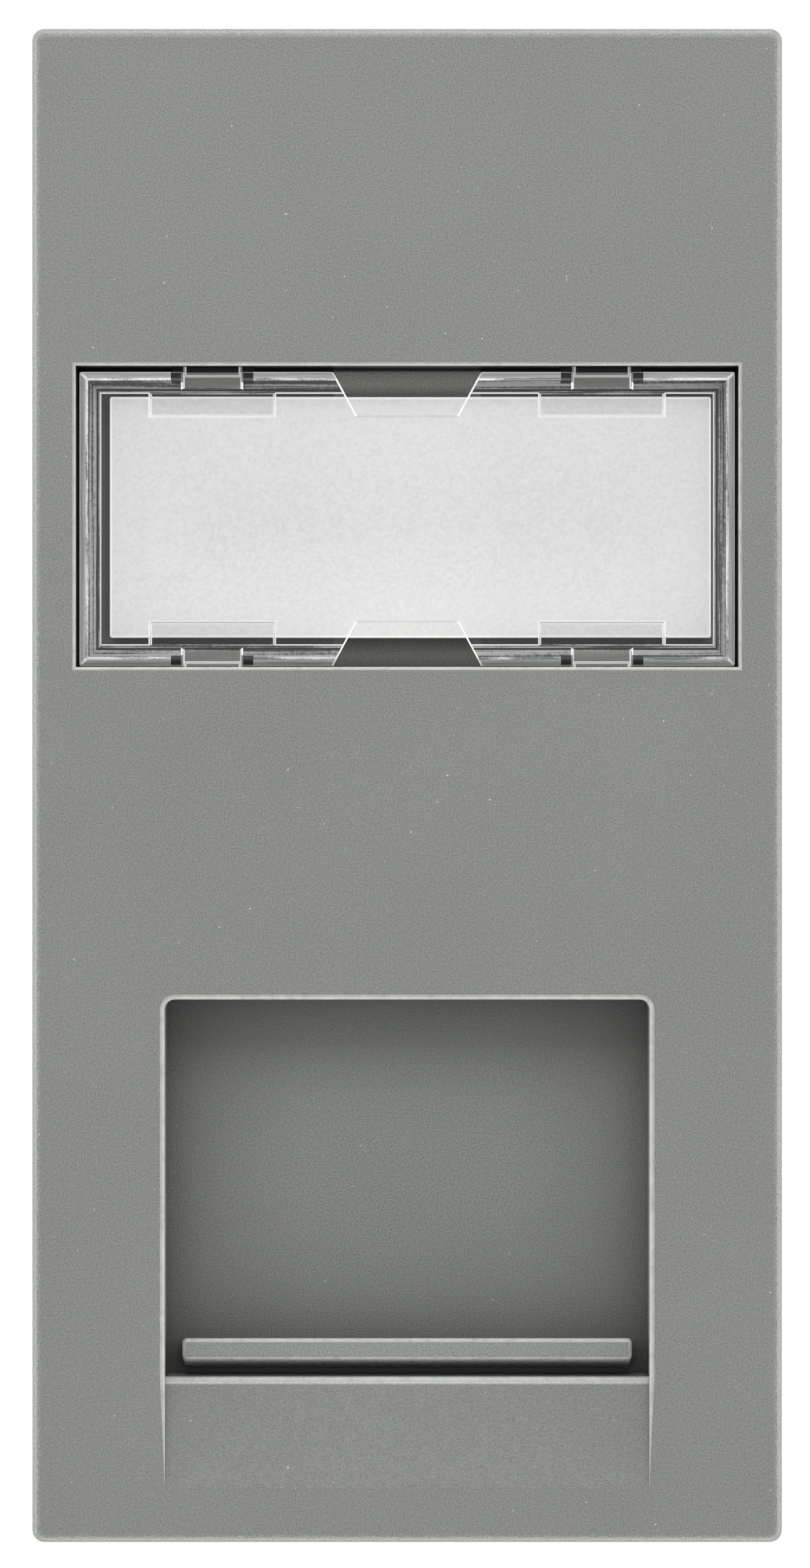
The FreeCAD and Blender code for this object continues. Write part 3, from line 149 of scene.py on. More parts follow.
def colour(code):
    """An sRGB hex colour as linear red, green, blue and alpha."""
    parts = [int(code[index:index + 2], 16) / 255 for index in (1, 3, 5)]
    linear = [part / 12.92 if part <= 0.04045 else ((part + 0.055) / 1.055) ** 2.4 for part in parts]
    return (*linear, 1.0)


def node(tree, kind, inputs=None, **settings):
    """Adds a node with its settings. An input is a value, or a socket to link from."""
    made = tree.nodes.new(kind)
    for name, value in settings.items():
        setattr(made, name, value)
    for name, value in (inputs or {}).items():
        if isinstance(value, bpy.types.NodeSocket):
            tree.links.new(value, made.inputs[name])
        else:
            made.inputs[name].default_value = value
    return made


def new_material(name):
    """A material with its shader, and the place on the piece that its patterns read."""
    made = bpy.data.materials.new(name)
    made.use_nodes = True
    tree = made.node_tree
    place = node(tree, "ShaderNodeTexCoord").outputs["Object"]
    return made, tree, tree.nodes["Principled BSDF"], place


def per_mm(size):
    """The scale of a pattern in Object coordinates whose features are this many millimetres wide."""
    return 1 / (size * MM)


def from_tray_edge(tree, place):
    """Where a place lies on the clear tray: across from its middle, and how far inside its left or right
    edge (side), inside its top or bottom edge (end) and inside the nearest edge (inside)."""
    axes = node(tree, "ShaderNodeSeparateXYZ", {"Vector": place})
    across = node(tree, "ShaderNodeMath", {0: axes.outputs["X"]}, operation="ABSOLUTE").outputs[0]
    height = node(tree, "ShaderNodeMath", {0: axes.outputs["Z"], 1: TRAY_CENTRE * MM}, operation="SUBTRACT")
    height = node(tree, "ShaderNodeMath", {0: height.outputs[0]}, operation="ABSOLUTE").outputs[0]
    side = node(
        tree, "ShaderNodeMath", {0: TRAY_HALF_WIDTH * MM, 1: across}, operation="SUBTRACT",
    ).outputs[0]
    end = node(
        tree, "ShaderNodeMath", {0: TRAY_HALF_HEIGHT * MM, 1: height}, operation="SUBTRACT",
    ).outputs[0]
    inside = node(tree, "ShaderNodeMath", {0: side, 1: end}, operation="MINIMUM").outputs[0]
    return {"across": across, "side": side, "end": end, "inside": inside}


def with_dust(tree, place, base):
    """The colour with a few pale grains of dust that stick to it."""
    noise = node(tree, "ShaderNodeTexNoise", {"Vector": place, "Scale": per_mm(DUST_WIDTH), "Detail": 0.0})
    share = node(
        tree, "ShaderNodeMapRange", {"Value": noise.outputs["Fac"], "From Min": 0.87, "From Max": 0.91},
    )
    mixed = node(
        tree, "ShaderNodeMix",
        {"Factor": share.outputs[0], "A": base, "B": colour("#C6C6C2")}, data_type="RGBA",
    )
    return mixed.outputs["Result"]


def light_in_gap(tree, place, gap):
    """Two factors for the plastic round the clear tray. Outside the tray's edge, gap is the share of light
    that is left, and the tray's notches let more light in."""
    edge = from_tray_edge(tree, place)
    axes = node(tree, "ShaderNodeSeparateXYZ", {"Vector": place})
    in_notch = node(
        tree, "ShaderNodeMath", {0: edge["across"], 1: NOTCH_HALF_WIDTH * MM}, operation="LESS_THAN",
    )
    inside = node(
        tree, "ShaderNodeMath",
        {0: in_notch.outputs[0], 1: NOTCH_SHIFT * MM, 2: edge["inside"]}, operation="MULTIPLY_ADD",
    )
    lit = node(
        tree, "ShaderNodeMapRange",
        {"Value": inside.outputs[0], "From Min": GAP_FADE[0] * MM, "From Max": GAP_FADE[1] * MM,
         "To Min": gap},
    )
    extra = node(
        tree, "ShaderNodeMapRange",
        {"Value": axes.outputs["Z"], "From Min": (TRAY_CENTRE - TRAY_HALF_HEIGHT) * MM,
         "From Max": (TRAY_CENTRE + TRAY_HALF_HEIGHT) * MM,
         "To Min": NOTCH_LIGHT[0], "To Max": NOTCH_LIGHT[1]},
    )
    more = node(
        tree, "ShaderNodeMath",
        {0: in_notch.outputs[0], 1: extra.outputs[0], 2: 1.0}, operation="MULTIPLY_ADD",
    )
    return lit.outputs[0], more.outputs[0]


def moulded_plastic(
    name, code, code_cool, grain, depth, roughness, mottle=0.06, painted_shade=None, gap=1.0, highlight_band=None, shine=0.5,
    dusty=False,
):
    """Injection-moulded plastic from a spark-eroded mould: an even colour under a fine matt grain.
    The mould's own grain is finer than a pixel, so it is drawn coarser. Painted shade of a reach and a
    strength darkens inside corners, gap is the share of painted light left in the narrow gap round the
    clear tray, and a painted highlight lightens the colour between two heights. A dusty one has pale
    grains of dust on it."""
    made, tree, shader, place = new_material(name)
    cast = node(tree, "ShaderNodeTexNoise", {"Vector": place, "Scale": per_mm(grain * 2), "Detail": 2.0})
    cast_share = node(
        tree, "ShaderNodeMapRange", {"Value": cast.outputs["Fac"], "From Min": 0.35, "From Max": 0.65},
    )
    base = node(
        tree, "ShaderNodeMix",
        {"Factor": cast_share.outputs[0], "A": colour(code), "B": colour(code_cool)}, data_type="RGBA",
    ).outputs["Result"]
    if dusty:
        base = with_dust(tree, place, base)
    grit = node(tree, "ShaderNodeTexNoise", {"Vector": place, "Scale": per_mm(grain), "Detail": 3.0})
    flow = node(tree, "ShaderNodeTexNoise", {"Vector": place, "Scale": per_mm(FLOW_WIDTH), "Detail": 2.0})
    both = node(
        tree, "ShaderNodeMath",
        {0: flow.outputs["Fac"], 1: FLOW_SHARE, 2: grit.outputs["Fac"]}, operation="MULTIPLY_ADD",
    )
    value = node(
        tree, "ShaderNodeMapRange",
        {"Value": both.outputs[0], "From Min": 0.24, "From Max": 0.84,
         "To Min": 1 - mottle, "To Max": 1 + mottle},
    ).outputs[0]
    factors = []
    # Painted shade: the colour darkens in inside corners.
    if painted_shade:
        reach, power = painted_shade
        corner = node(tree, "ShaderNodeAmbientOcclusion", {"Distance": reach * MM}, samples=8)
        corner = node(tree, "ShaderNodeMath", {0: corner.outputs["AO"], 1: power}, operation="POWER")
        factors.append(corner.outputs[0])
    # Painted shade in the gap round the clear tray, and painted light in its notches.
    if gap < 1:
        factors.extend(light_in_gap(tree, place, gap))
    # A painted highlight: the colour lightens between two heights.
    if highlight_band:
        axes = node(tree, "ShaderNodeSeparateXYZ", {"Vector": place})
        bright = node(
            tree, "ShaderNodeMapRange",
            {"Value": axes.outputs["Z"], "From Min": highlight_band[0] * MM, "From Max": highlight_band[1] * MM,
             "To Min": 1.0, "To Max": HIGHLIGHT_GAIN},
        )
        factors.append(bright.outputs[0])
    for factor in factors:
        value = node(tree, "ShaderNodeMath", {0: value, 1: factor}, operation="MULTIPLY").outputs[0]
    tint = node(tree, "ShaderNodeHueSaturation", {"Color": base, "Value": value})
    gloss = node(
        tree, "ShaderNodeMapRange",
        {"Value": grit.outputs["Fac"], "From Min": 0.3, "From Max": 0.7,
         "To Min": roughness - ROUGHNESS_SPREAD, "To Max": roughness + ROUGHNESS_SPREAD},
    )
    bump = node(
        tree, "ShaderNodeBump",
        {"Height": grit.outputs["Fac"], "Strength": 1.0, "Distance": depth * MM},
    )
    tree.links.new(tint.outputs[0], shader.inputs["Base Color"])
    tree.links.new(gloss.outputs[0], shader.inputs["Roughness"])
    tree.links.new(bump.outputs[0], shader.inputs["Normal"])
    shader.inputs["IOR"].default_value = PLASTIC_IOR
    shader.inputs["Specular IOR Level"].default_value = shine
    return made


def from_hook(tree, edge):
    """How far a place lies to the side of the middle of a hook."""
    offset = node(tree, "ShaderNodeMath", {0: edge["across"], 1: HOOK_CENTRE * MM}, operation="SUBTRACT")
    return node(tree, "ShaderNodeMath", {0: offset.outputs[0]}, operation="ABSOLUTE").outputs[0]


def unlit_share(tree, edge):
    """1 at the tips of the hooks and over the slots beside them, where nothing behind the tray is lit: the
    places of painted shade.
    """
    over_slot = node(
        tree, "ShaderNodeMath",
        {0: from_hook(tree, edge), 1: (HOOK_HALF_WIDTH + HOOK_PLAY / 2) * MM, 2: HOOK_PLAY / 2 * MM},
        operation="COMPARE",
    )
    near_end = node(tree, "ShaderNodeMath", {0: edge["end"], 1: SLOT_DEPTH * MM}, operation="LESS_THAN")
    tip = node(tree, "ShaderNodeMath", {0: edge["end"], 1: 0.0}, operation="LESS_THAN")
    unlit = node(
        tree, "ShaderNodeMath",
        {0: over_slot.outputs[0], 1: near_end.outputs[0], 2: tip.outputs[0]}, operation="MULTIPLY_ADD",
    )
    return unlit.outputs[0]


def shade_line_share(tree, edge):
    """1 along the painted shade line, where the inside of the tray's wall turns the light away."""
    shade_line = node(
        tree, "ShaderNodeMath",
        {0: edge["inside"], 1: WALL_SHADE_LINE * MM, 2: WALL_SHADE_LINE_HALF_WIDTH * MM}, operation="COMPARE",
    )
    return shade_line.outputs[0]


def glint_share(tree, edge):
    """1 where a hook leaves the tray, and along the corners of its tip: the places of painted glints."""
    root = node(
        tree, "ShaderNodeMath",
        {0: edge["end"], 1: HOOK_GLINT * MM, 2: HOOK_GLINT_HALF_WIDTH * MM}, operation="COMPARE",
    )
    corner = node(
        tree, "ShaderNodeMath",
        {0: from_hook(tree, edge), 1: HOOK_HALF_WIDTH * MM, 2: HOOK_CORNER_HALF_WIDTH * MM},
        operation="COMPARE",
    )
    near_tip = node(tree, "ShaderNodeMath", {0: edge["end"], 1: HOOK_GLINT * MM}, operation="LESS_THAN")
    glint = node(
        tree, "ShaderNodeMath",
        {0: corner.outputs[0], 1: near_tip.outputs[0], 2: root.outputs[0]}, operation="MULTIPLY_ADD",
    )
    return glint.outputs[0]


def clear_acrylic(
    name, dim, bright, roughness, clarity, lines, length=30.0, dark=None, shade_line=None, glint=None,
    painted_glow=0.0, shine=0.5, mirror=1.0,
):
    """Moulded clear acrylic, see-through where polished. Where its clarity is low, its colour is painted:
    pale for painted highlights along the tray's edges, dim between them. Streaks of this width in
    millimetres run along the tray's rim, this many times as long as wide, and fine scratches break them
    up. Dark, shade line and glint are the colours of painted shade at the unlit places at the hooks, of
    the painted shade line in the wall and of the painted glints on the edges of the hooks. The edges give
    off a painted glow of this strength. Mirror is the share of its reflection that shows: the reflection
    is painted dimmer, as if the room in front of it were darker than the white round it."""
    made, tree, shader, place = new_material(name)
    edge = from_tray_edge(tree, place)
    at_side = node(tree, "ShaderNodeMath", {0: edge["side"], 1: edge["end"]}, operation="LESS_THAN")
    upright = node(tree, "ShaderNodeMapping", {"Vector": place, "Scale": (1.0, 1.0, 1 / length)})
    level = node(tree, "ShaderNodeMapping", {"Vector": place, "Scale": (1 / length, 1.0, 1.0)})
    along = node(
        tree, "ShaderNodeMix",
        {"Factor": at_side.outputs[0], "A": level.outputs[0], "B": upright.outputs[0]}, data_type="VECTOR",
    )
    streaks = node(
        tree, "ShaderNodeTexNoise",
        {"Vector": along.outputs["Result"], "Scale": per_mm(lines), "Detail": 2.0},
    )
    scratches = node(
        tree, "ShaderNodeTexNoise", {"Vector": place, "Scale": per_mm(SCRATCH_WIDTH), "Detail": 1.0},
    )
    broken = node(
        tree, "ShaderNodeMath",
        {0: scratches.outputs["Fac"], 1: SCRATCH_SHARE, 2: streaks.outputs["Fac"]}, operation="MULTIPLY_ADD",
    )
    share = node(
        tree, "ShaderNodeMapRange", {"Value": broken.outputs[0], "From Min": 0.52, "From Max": 0.73},
    )
    tint = node(
        tree, "ShaderNodeMix",
        {"Factor": share.outputs[0], "A": colour(dim), "B": colour(bright)}, data_type="RGBA",
    )
    # Painted shade at the hooks and along the wall, and painted glints on the hooks.
    for code, share_of in ((dark, unlit_share), (shade_line, shade_line_share), (glint, glint_share)):
        if code:
            tint = node(
                tree, "ShaderNodeMix",
                {"Factor": share_of(tree, edge), "A": tint.outputs["Result"], "B": colour(code)},
                data_type="RGBA",
            )
    haze = node(
        tree, "ShaderNodeMapRange",
        {"Value": streaks.outputs["Fac"], "From Min": 0.3, "From Max": 0.7,
         "To Min": roughness * 0.5, "To Max": roughness * 1.5},
    )
    tree.links.new(tint.outputs["Result"], shader.inputs["Base Color"])
    tree.links.new(haze.outputs[0], shader.inputs["Roughness"])
    shader.inputs["Transmission Weight"].default_value = clarity
    shader.inputs["IOR"].default_value = ACRYLIC_IOR
    shader.inputs["Specular IOR Level"].default_value = shine
    shader.inputs["Specular Tint"].default_value = (mirror, mirror, mirror, 1.0)
    shader.inputs["Emission Color"].default_value = WHITE
    shader.inputs["Emission Strength"].default_value = painted_glow
    return made


def uncoated_paper(name, code, painted_glow):
    """Bright white uncoated paper: matt, with a faint cloud of fibres. Its border gets a painted glow of
    this strength, fading inward: painted light that lifts it out of the pocket's shade."""
    made, tree, shader, place = new_material(name)
    border = node(
        tree, "ShaderNodeMapRange",
        {"Value": from_tray_edge(tree, place)["inside"], "From Min": PAPER_BORDER[0] * MM,
         "From Max": PAPER_BORDER[1] * MM, "To Min": painted_glow, "To Max": 0.0},
    )
    # Real fibres are about 0.03 mm wide: they are drawn coarser, so that they show in the picture.
    fibres = node(tree, "ShaderNodeTexNoise", {"Vector": place, "Scale": per_mm(FIBRE_WIDTH), "Detail": 3.0})
    value = node(
        tree, "ShaderNodeMapRange",
        {"Value": fibres.outputs["Fac"], "From Min": 0.3, "From Max": 0.7, "To Min": 0.91, "To Max": 1.02},
    )
    tint = node(tree, "ShaderNodeHueSaturation", {"Color": colour(code), "Value": value.outputs[0]})
    bump = node(
        tree, "ShaderNodeBump",
        {"Height": fibres.outputs["Fac"], "Strength": 0.4, "Distance": 0.01 * MM},
    )
    tree.links.new(tint.outputs[0], shader.inputs["Base Color"])
    tree.links.new(bump.outputs[0], shader.inputs["Normal"])
    tree.links.new(border.outputs[0], shader.inputs["Emission Strength"])
    shader.inputs["Roughness"].default_value = 0.85
    shader.inputs["Emission Color"].default_value = WHITE
    return made


def drawn_metal(name, code, roughness):
    """Drawn and plated metal: bright, with fine marks along the wire."""
    made, tree, shader, place = new_material(name)
    along = node(tree, "ShaderNodeMapping", {"Vector": place, "Scale": (1.0, 0.08, 0.3)})
    marks = node(
        tree, "ShaderNodeTexNoise",
        {"Vector": along.outputs[0], "Scale": per_mm(WIRE_MARK_WIDTH), "Detail": 3.0},
    )
    gloss = node(
        tree, "ShaderNodeMapRange",
        {"Value": marks.outputs["Fac"], "From Min": 0.3, "From Max": 0.7,
         "To Min": roughness - 0.07, "To Max": roughness + 0.1},
    )
    bump = node(
        tree, "ShaderNodeBump",
        {"Height": marks.outputs["Fac"], "Strength": 0.3, "Distance": 0.004 * MM},
    )
    tree.links.new(gloss.outputs[0], shader.inputs["Roughness"])
    tree.links.new(bump.outputs[0], shader.inputs["Normal"])
    shader.inputs["Base Color"].default_value = colour(code)
    shader.inputs["Metallic"].default_value = 1.0
    return made


def glass_fibre_board():
    """Glass-fibre circuit board under green solder mask: semi-gloss, with the weave showing faintly."""
    made, tree, shader, place = new_material("glass_fibre_board")
    weave = node(
        tree, "ShaderNodeTexChecker",
        {"Vector": place, "Color1": colour("#1D5B3A"), "Color2": colour("#195233"),
         "Scale": per_mm(WEAVE_WIDTH)},
    )
    tree.links.new(weave.outputs["Color"], shader.inputs["Base Color"])
    shader.inputs["Roughness"].default_value = 0.35
    return made


# The face and the carrier: an even matt grey with a fine grain, a few specks of dust, and painted shade
# in inside corners.
GREY = moulded_plastic(
    "grey_moulded_abs", "#838480", "#7D817F", grain=0.05, depth=0.014, roughness=0.36, mottle=0.45,
    painted_shade=(0.2, 1.6), dusty=True,
)
# The rounded lips and the grip ledge's front edges are paler, a painted highlight, and smoother.
EDGE_HIGHLIGHT = moulded_plastic(
    "grey_moulded_abs_edge_highlight", "#ADAEAA", "#A9ABA9", grain=0.3, depth=0.006, roughness=0.3, mottle=0.2,
)
# The ledge's underside, where a fingertip pulls, is painted near-white: painted light from the scoop.
UNDERSIDE_LIGHT = moulded_plastic(
    "grey_moulded_abs_underside_light", "#F0F0EC", "#ECEEEB", grain=0.3, depth=0.006, roughness=0.3, mottle=0.1,
)
# The scoop is a little darker than the face's grey, with a painted highlight along its top.
SCOOP_GREY = moulded_plastic(
    "grey_moulded_abs_scoop", "#80817D", "#7A7E7C", grain=0.05, depth=0.011, roughness=0.36, mottle=0.36,
    highlight_band=SCOOP_HIGHLIGHT, dusty=True,
)
# The shutter lies deep in the port. Its grey is written lighter than the face's, it has pale specks of dust,
# and painted shade darkens it towards the port's walls.
SHUTTER_GREY = moulded_plastic(
    "grey_moulded_abs_shutter", "#90928C", "#8A8E8B", grain=0.05, depth=0.014, roughness=0.36, mottle=0.5,
    painted_shade=(4.5, 0.68), dusty=True,
)
# The tray shades the moat round the label, but it throws no shadow here, so the plastic is written darker.
SHADED_GREY = moulded_plastic(
    "grey_moulded_abs_in_shade", "#7A7B77", "#767876", grain=0.05, depth=0.014, roughness=0.6, mottle=0.42,
    painted_shade=(0.5, 1.0), gap=0.08, shine=0.1,
)
# The sheet is clear, and its pads are a little greyer where they press on the paper. Both have their
# reflections painted dimmer.
CLEAR = clear_acrylic(
    "clear_acrylic_polished", "#FCFDFD", "#FFFFFF", 0.01, clarity=1.0, lines=1.5, mirror=0.4,
)
CLEAR_PAD = clear_acrylic(
    "clear_acrylic_pad", "#E2E3E3", "#E8E8E8", 0.02, clarity=1.0, lines=1.5, mirror=0.4,
)
# The tray's bevel, edges, rim, wall and hooks are painted: pale lines and streaks are painted highlights,
# and dark corners are painted shade.
CLEAR_BEVEL = clear_acrylic(
    "clear_acrylic_bevel", "#C1C4C6", "#D7D9DA", 0.25, clarity=0.1, lines=0.06, dark="#3C3D3F",
)
CLEAR_EDGE = clear_acrylic(
    "clear_acrylic_edge", "#F4F5F6", "#FFFFFF", 0.3, clarity=0.1, lines=0.2, dark="#4A4B4D", painted_glow=0.14,
)
CLEAR_RIM = clear_acrylic(
    "clear_acrylic_rim", "#868889", "#FBFBFB", 0.3, clarity=0.1, lines=0.2, length=8.0, dark="#3C3D3F",
)
CLEAR_FOOT = clear_acrylic(
    "clear_acrylic_foot", "#5F6061", "#E3E4E4", 0.3, clarity=0.1, lines=0.05, length=100.0, dark="#3C3D3F",
    shade_line="#2C2D2E",
)
CLEAR_HOOK = clear_acrylic(
    "clear_acrylic_hook", "#8B8B89", "#9B9A98", 0.3, clarity=0.2, lines=0.3, dark="#0C0C0C",
    glint="#FFFFFF", shine=0.1,
)
# The label is matt white with a painted glow on its border, and a stronger painted glow on its cut edge.
PAPER = uncoated_paper("label_paper", "#FCFCFD", painted_glow=0.045)
PAPER_EDGE = uncoated_paper("label_paper_cut_edge", "#FFFFFF", painted_glow=0.3)
# The metals: a grey spring, warm gold contacts and pale terminals.
STEEL = drawn_metal("spring_steel", "#9A9B9C", 0.3)
GOLD = drawn_metal("gold_plated_bronze", "#D9A441", 0.36)
TIN = drawn_metal("tinned_brass", "#C9C8C2", 0.32)
# The rear pieces: matt black jack and block, creamy comb, off-white cap and a green board.
BLACK = moulded_plastic("black_moulded_pbt", "#1C1B1C", "#1A1C1E", grain=0.09, depth=0.01, roughness=0.45)
NATURAL = moulded_plastic("natural_nylon", "#DAD4C2", "#D6D3C5", grain=0.1, depth=0.006, roughness=0.4)
IVORY = moulded_plastic(
    "white_moulded_polycarbonate", "#C2C1BA", "#BEC0BC", grain=0.09, depth=0.008, roughness=0.42,
)
BOARD = glass_fibre_board()

# Limits of place, in millimetres, by which the finders below tell edges and faces. A pair is a half width
# and a half height, or two ends of a range.
BODY_FRONT = 0.5
BODY_BACK = 8.5
BODY_HALF_SIZE = (9.6, 20.15)
FACE_INSIDE = (10.2, 21.5)
LIP_BACK = -1.2
LIP_WIDTH = 0.07
SCOOP_TOP = -18.0
SCOOP_WIDTH = 1.0
PORT_HALF_WIDTH = 7.0
LEDGE_EDGE_WIDTH = 0.05
LEDGE_UNDERSIDE = (-17.5, -17.0)
LEDGE_DEPTH = (-1.2, 0.9)
LEDGE_ROOT = (0.9, 1.1)
LEDGE_ROOT_TOP = (-16.75, -16.2)
LEDGE_ROOT_LOW = (-17.4, -16.75)
POCKET_HALF_SIZE = (9.9, 5.0)
POCKET_DEPTH = (-1.88, 0.5)
NEAR = 0.05
HOOK_MARGIN = 0.02
HOOK_ROOT = 0.2
RIM_BAND = (0.1, 0.35)
RIM_BACK = -1.5
FOOT_BAND = (0.45, 0.75)
FOOT_FRONT = -0.8
GROOVE_HALF_WIDTH = 0.7
GROOVE_BAND = (0.36, 0.8)
GROOVE_BACK = -0.9
NOTCH_MARGIN = 0.1

# Limits of tilt: the part of a face's normal that points back, for UNDERSIDE_TILT up, and for LEVEL up or to
# the side.
LIP_TILT = (-0.99, -0.15)
SCOOP_TILT = (-0.99, -0.9)
LEDGE_EDGE_TILT = (-0.98, -0.1)
BEVEL_TILT = (-0.95, -0.3)
UNDERSIDE_TILT = -0.5
LOOKS_BACK = 0.9
LEVEL = 0.2


def everywhere(edge):
    """All sharp edges."""
    return True


def no_edges(edge):
    """None, for a piece that stays as it is."""
    return False


def within(value, limits):
    """Whether a value lies between two limits."""
    return limits[0] < value < limits[1]


def outside_walls(edge):
    """The body's outer edges behind the face, whose own front edges are already round."""
    corners = [corner.co / MM for corner in edge.verts]
    behind = all(corner.y > BODY_FRONT for corner in corners)
    return behind and any(
        abs(corner.x) > BODY_HALF_SIZE[0] or abs(corner.z) > BODY_HALF_SIZE[1] or corner.y > BODY_BACK
        for corner in corners
    )


def centre_of(face):
    """The middle of a face in millimetres."""
    return face.calc_center_median() / MM


def strip_width(face):
    """The width in millimetres of a long narrow face."""
    return 2 * face.calc_area() / face.calc_perimeter() / MM


def highlit_lip(face):
    """The rounded lips of the port, the scoop and the label pocket, which get a painted highlight."""
    centre = centre_of(face)
    inside = abs(centre.x) < FACE_INSIDE[0] and abs(centre.z) < FACE_INSIDE[1] and centre.y < LIP_BACK
    return inside and within(face.normal.y, LIP_TILT) and strip_width(face) < LIP_WIDTH


def scoop_slope(face):
    """The finger scoop below the port."""
    centre = centre_of(face)
    below_port = centre.z < SCOOP_TOP and abs(centre.x) < PORT_HALF_WIDTH
    return below_port and within(face.normal.y, SCOOP_TILT) and strip_width(face) > SCOOP_WIDTH


def highlit_ledge_edge(face):
    """The rounded front edges of the shutter's grip ledge, which get a painted highlight."""
    tilted = within(face.normal.y, LEDGE_EDGE_TILT)
    return centre_of(face).y < LIP_BACK and tilted and strip_width(face) < LEDGE_EDGE_WIDTH


def ledge_underside(face):
    """The lower side of the grip ledge."""
    centre = centre_of(face)
    on_ledge = within(centre.z, LEDGE_UNDERSIDE) and within(centre.y, LEDGE_DEPTH)
    return on_ledge and face.normal.z < UNDERSIDE_TILT


def in_label_pocket(face):
    """The pocket's walls and the moat and seat at its bottom."""
    centre = centre_of(face)
    over_pocket = abs(centre.x) < POCKET_HALF_SIZE[0] and abs(centre.z - TRAY_CENTRE) < POCKET_HALF_SIZE[1]
    return over_pocket and within(centre.y, POCKET_DEPTH)


def beside_hook(face):
    """How far the middle of a face lies to the side of the middle of a hook."""
    return abs(abs(centre_of(face).x) - HOOK_CENTRE)


def inside_end(face):
    """How far the middle of a face lies inside the tray's top or bottom edge."""
    return TRAY_HALF_HEIGHT - abs(centre_of(face).z - TRAY_CENTRE)


def along_tray(face, band):
    """Whether a face runs along the tray's edge in a band of distances inside it."""
    inside_side = TRAY_HALF_WIDTH - abs(centre_of(face).x)
    along_side = within(inside_side, band) and abs(face.normal.z) < LEVEL
    along_end = within(inside_end(face), band) and abs(face.normal.x) < LEVEL
    return along_side or along_end


def tray_slope(face):
    """The bevel along the front of the clear tray."""
    return within(face.normal.y, BEVEL_TILT)


def tray_foot(face):
    """The tray's wall where it stands on the moat."""
    return face.normal.y > LOOKS_BACK and centre_of(face).y > TRAY_BACK - NEAR


def tray_hook(face):
    """The floor of the groove over a hook, and the hook."""
    return beside_hook(face) < HOOK_HALF_WIDTH + HOOK_MARGIN and inside_end(face) < HOOK_ROOT


def tray_pad(face):
    """The back of the pads that press on the label."""
    return face.normal.y > LOOKS_BACK and abs(centre_of(face).y - TRAY_PAD) < NEAR


def tray_rim(face):
    """The rounded inner edge of the tray's bevel."""
    return centre_of(face).y < RIM_BACK and along_tray(face, RIM_BAND)


def foot_edge(face):
    """The inner edge of the wall on which the tray stands."""
    return centre_of(face).y > FOOT_FRONT and along_tray(face, FOOT_BAND)


def groove_end(face):
    """The inner end of the groove over a hook."""
    in_groove = beside_hook(face) < GROOVE_HALF_WIDTH and within(inside_end(face), GROOVE_BAND)
    return in_groove and centre_of(face).y < GROOVE_BACK


def notch_end(face):
    """The inner end of a fingernail notch."""
    in_notch = abs(centre_of(face).x) < NOTCH_HALF_WIDTH and inside_end(face) > NOTCH_DEPTH - NOTCH_MARGIN
    return in_notch and abs(face.normal.x) < LEVEL


def ledge_root(corner):
    """Where the grip ledge meets the shutter's plate."""
    return within(corner.y, LEDGE_ROOT) and abs(corner.x) < PORT_HALF_WIDTH


def ledge_root_top(corner):
    """The upper half of the grip ledge's root."""
    return ledge_root(corner) and within(corner.z, LEDGE_ROOT_TOP)


def ledge_root_low(corner):
    """The lower half of the grip ledge's root."""
    return ledge_root(corner) and within(corner.z, LEDGE_ROOT_LOW)


def copied(name, finishes):
    """A copy of a CAD node with finishes of its own, in edit mode, with its facets joined to whole faces."""
    bpy.ops.object.select_all(action="DESELECT")
    source = frame["nodes"][name]
    source.select_set(True)
    bpy.context.view_layer.objects.active = source
    bpy.ops.object.duplicate()
    piece = bpy.context.active_object
    piece.name = f"{name}_finished"
    del piece["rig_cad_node"]
    piece.data.materials.clear()
    for finish in finishes:
        piece.data.materials.append(finish)
    bpy.ops.object.mode_set(mode="EDIT")
    bpy.ops.mesh.select_mode(type="EDGE")
    bpy.ops.mesh.select_all(action="SELECT")
    bpy.ops.mesh.customdata_custom_splitnormals_clear()
    bpy.ops.mesh.remove_doubles(threshold=WELD * MM)
    bpy.ops.mesh.dissolve_limited(angle_limit=FLAT_ANGLE)
    return piece


def move_corners(piece, found, rise):
    """Moves the corners at a place up or down, which changes the slope of a moulded wall."""
    bpy.ops.mesh.select_mode(type="VERT")
    bpy.ops.mesh.select_all(action="DESELECT")
    mesh = bmesh.from_edit_mesh(piece.data)
    for corner in mesh.verts:
        corner.select_set(found(corner.co / MM))
    bmesh.update_edit_mesh(piece.data)
    bpy.ops.transform.translate(value=(0, 0, rise * MM))
    bpy.ops.mesh.select_mode(type="EDGE")


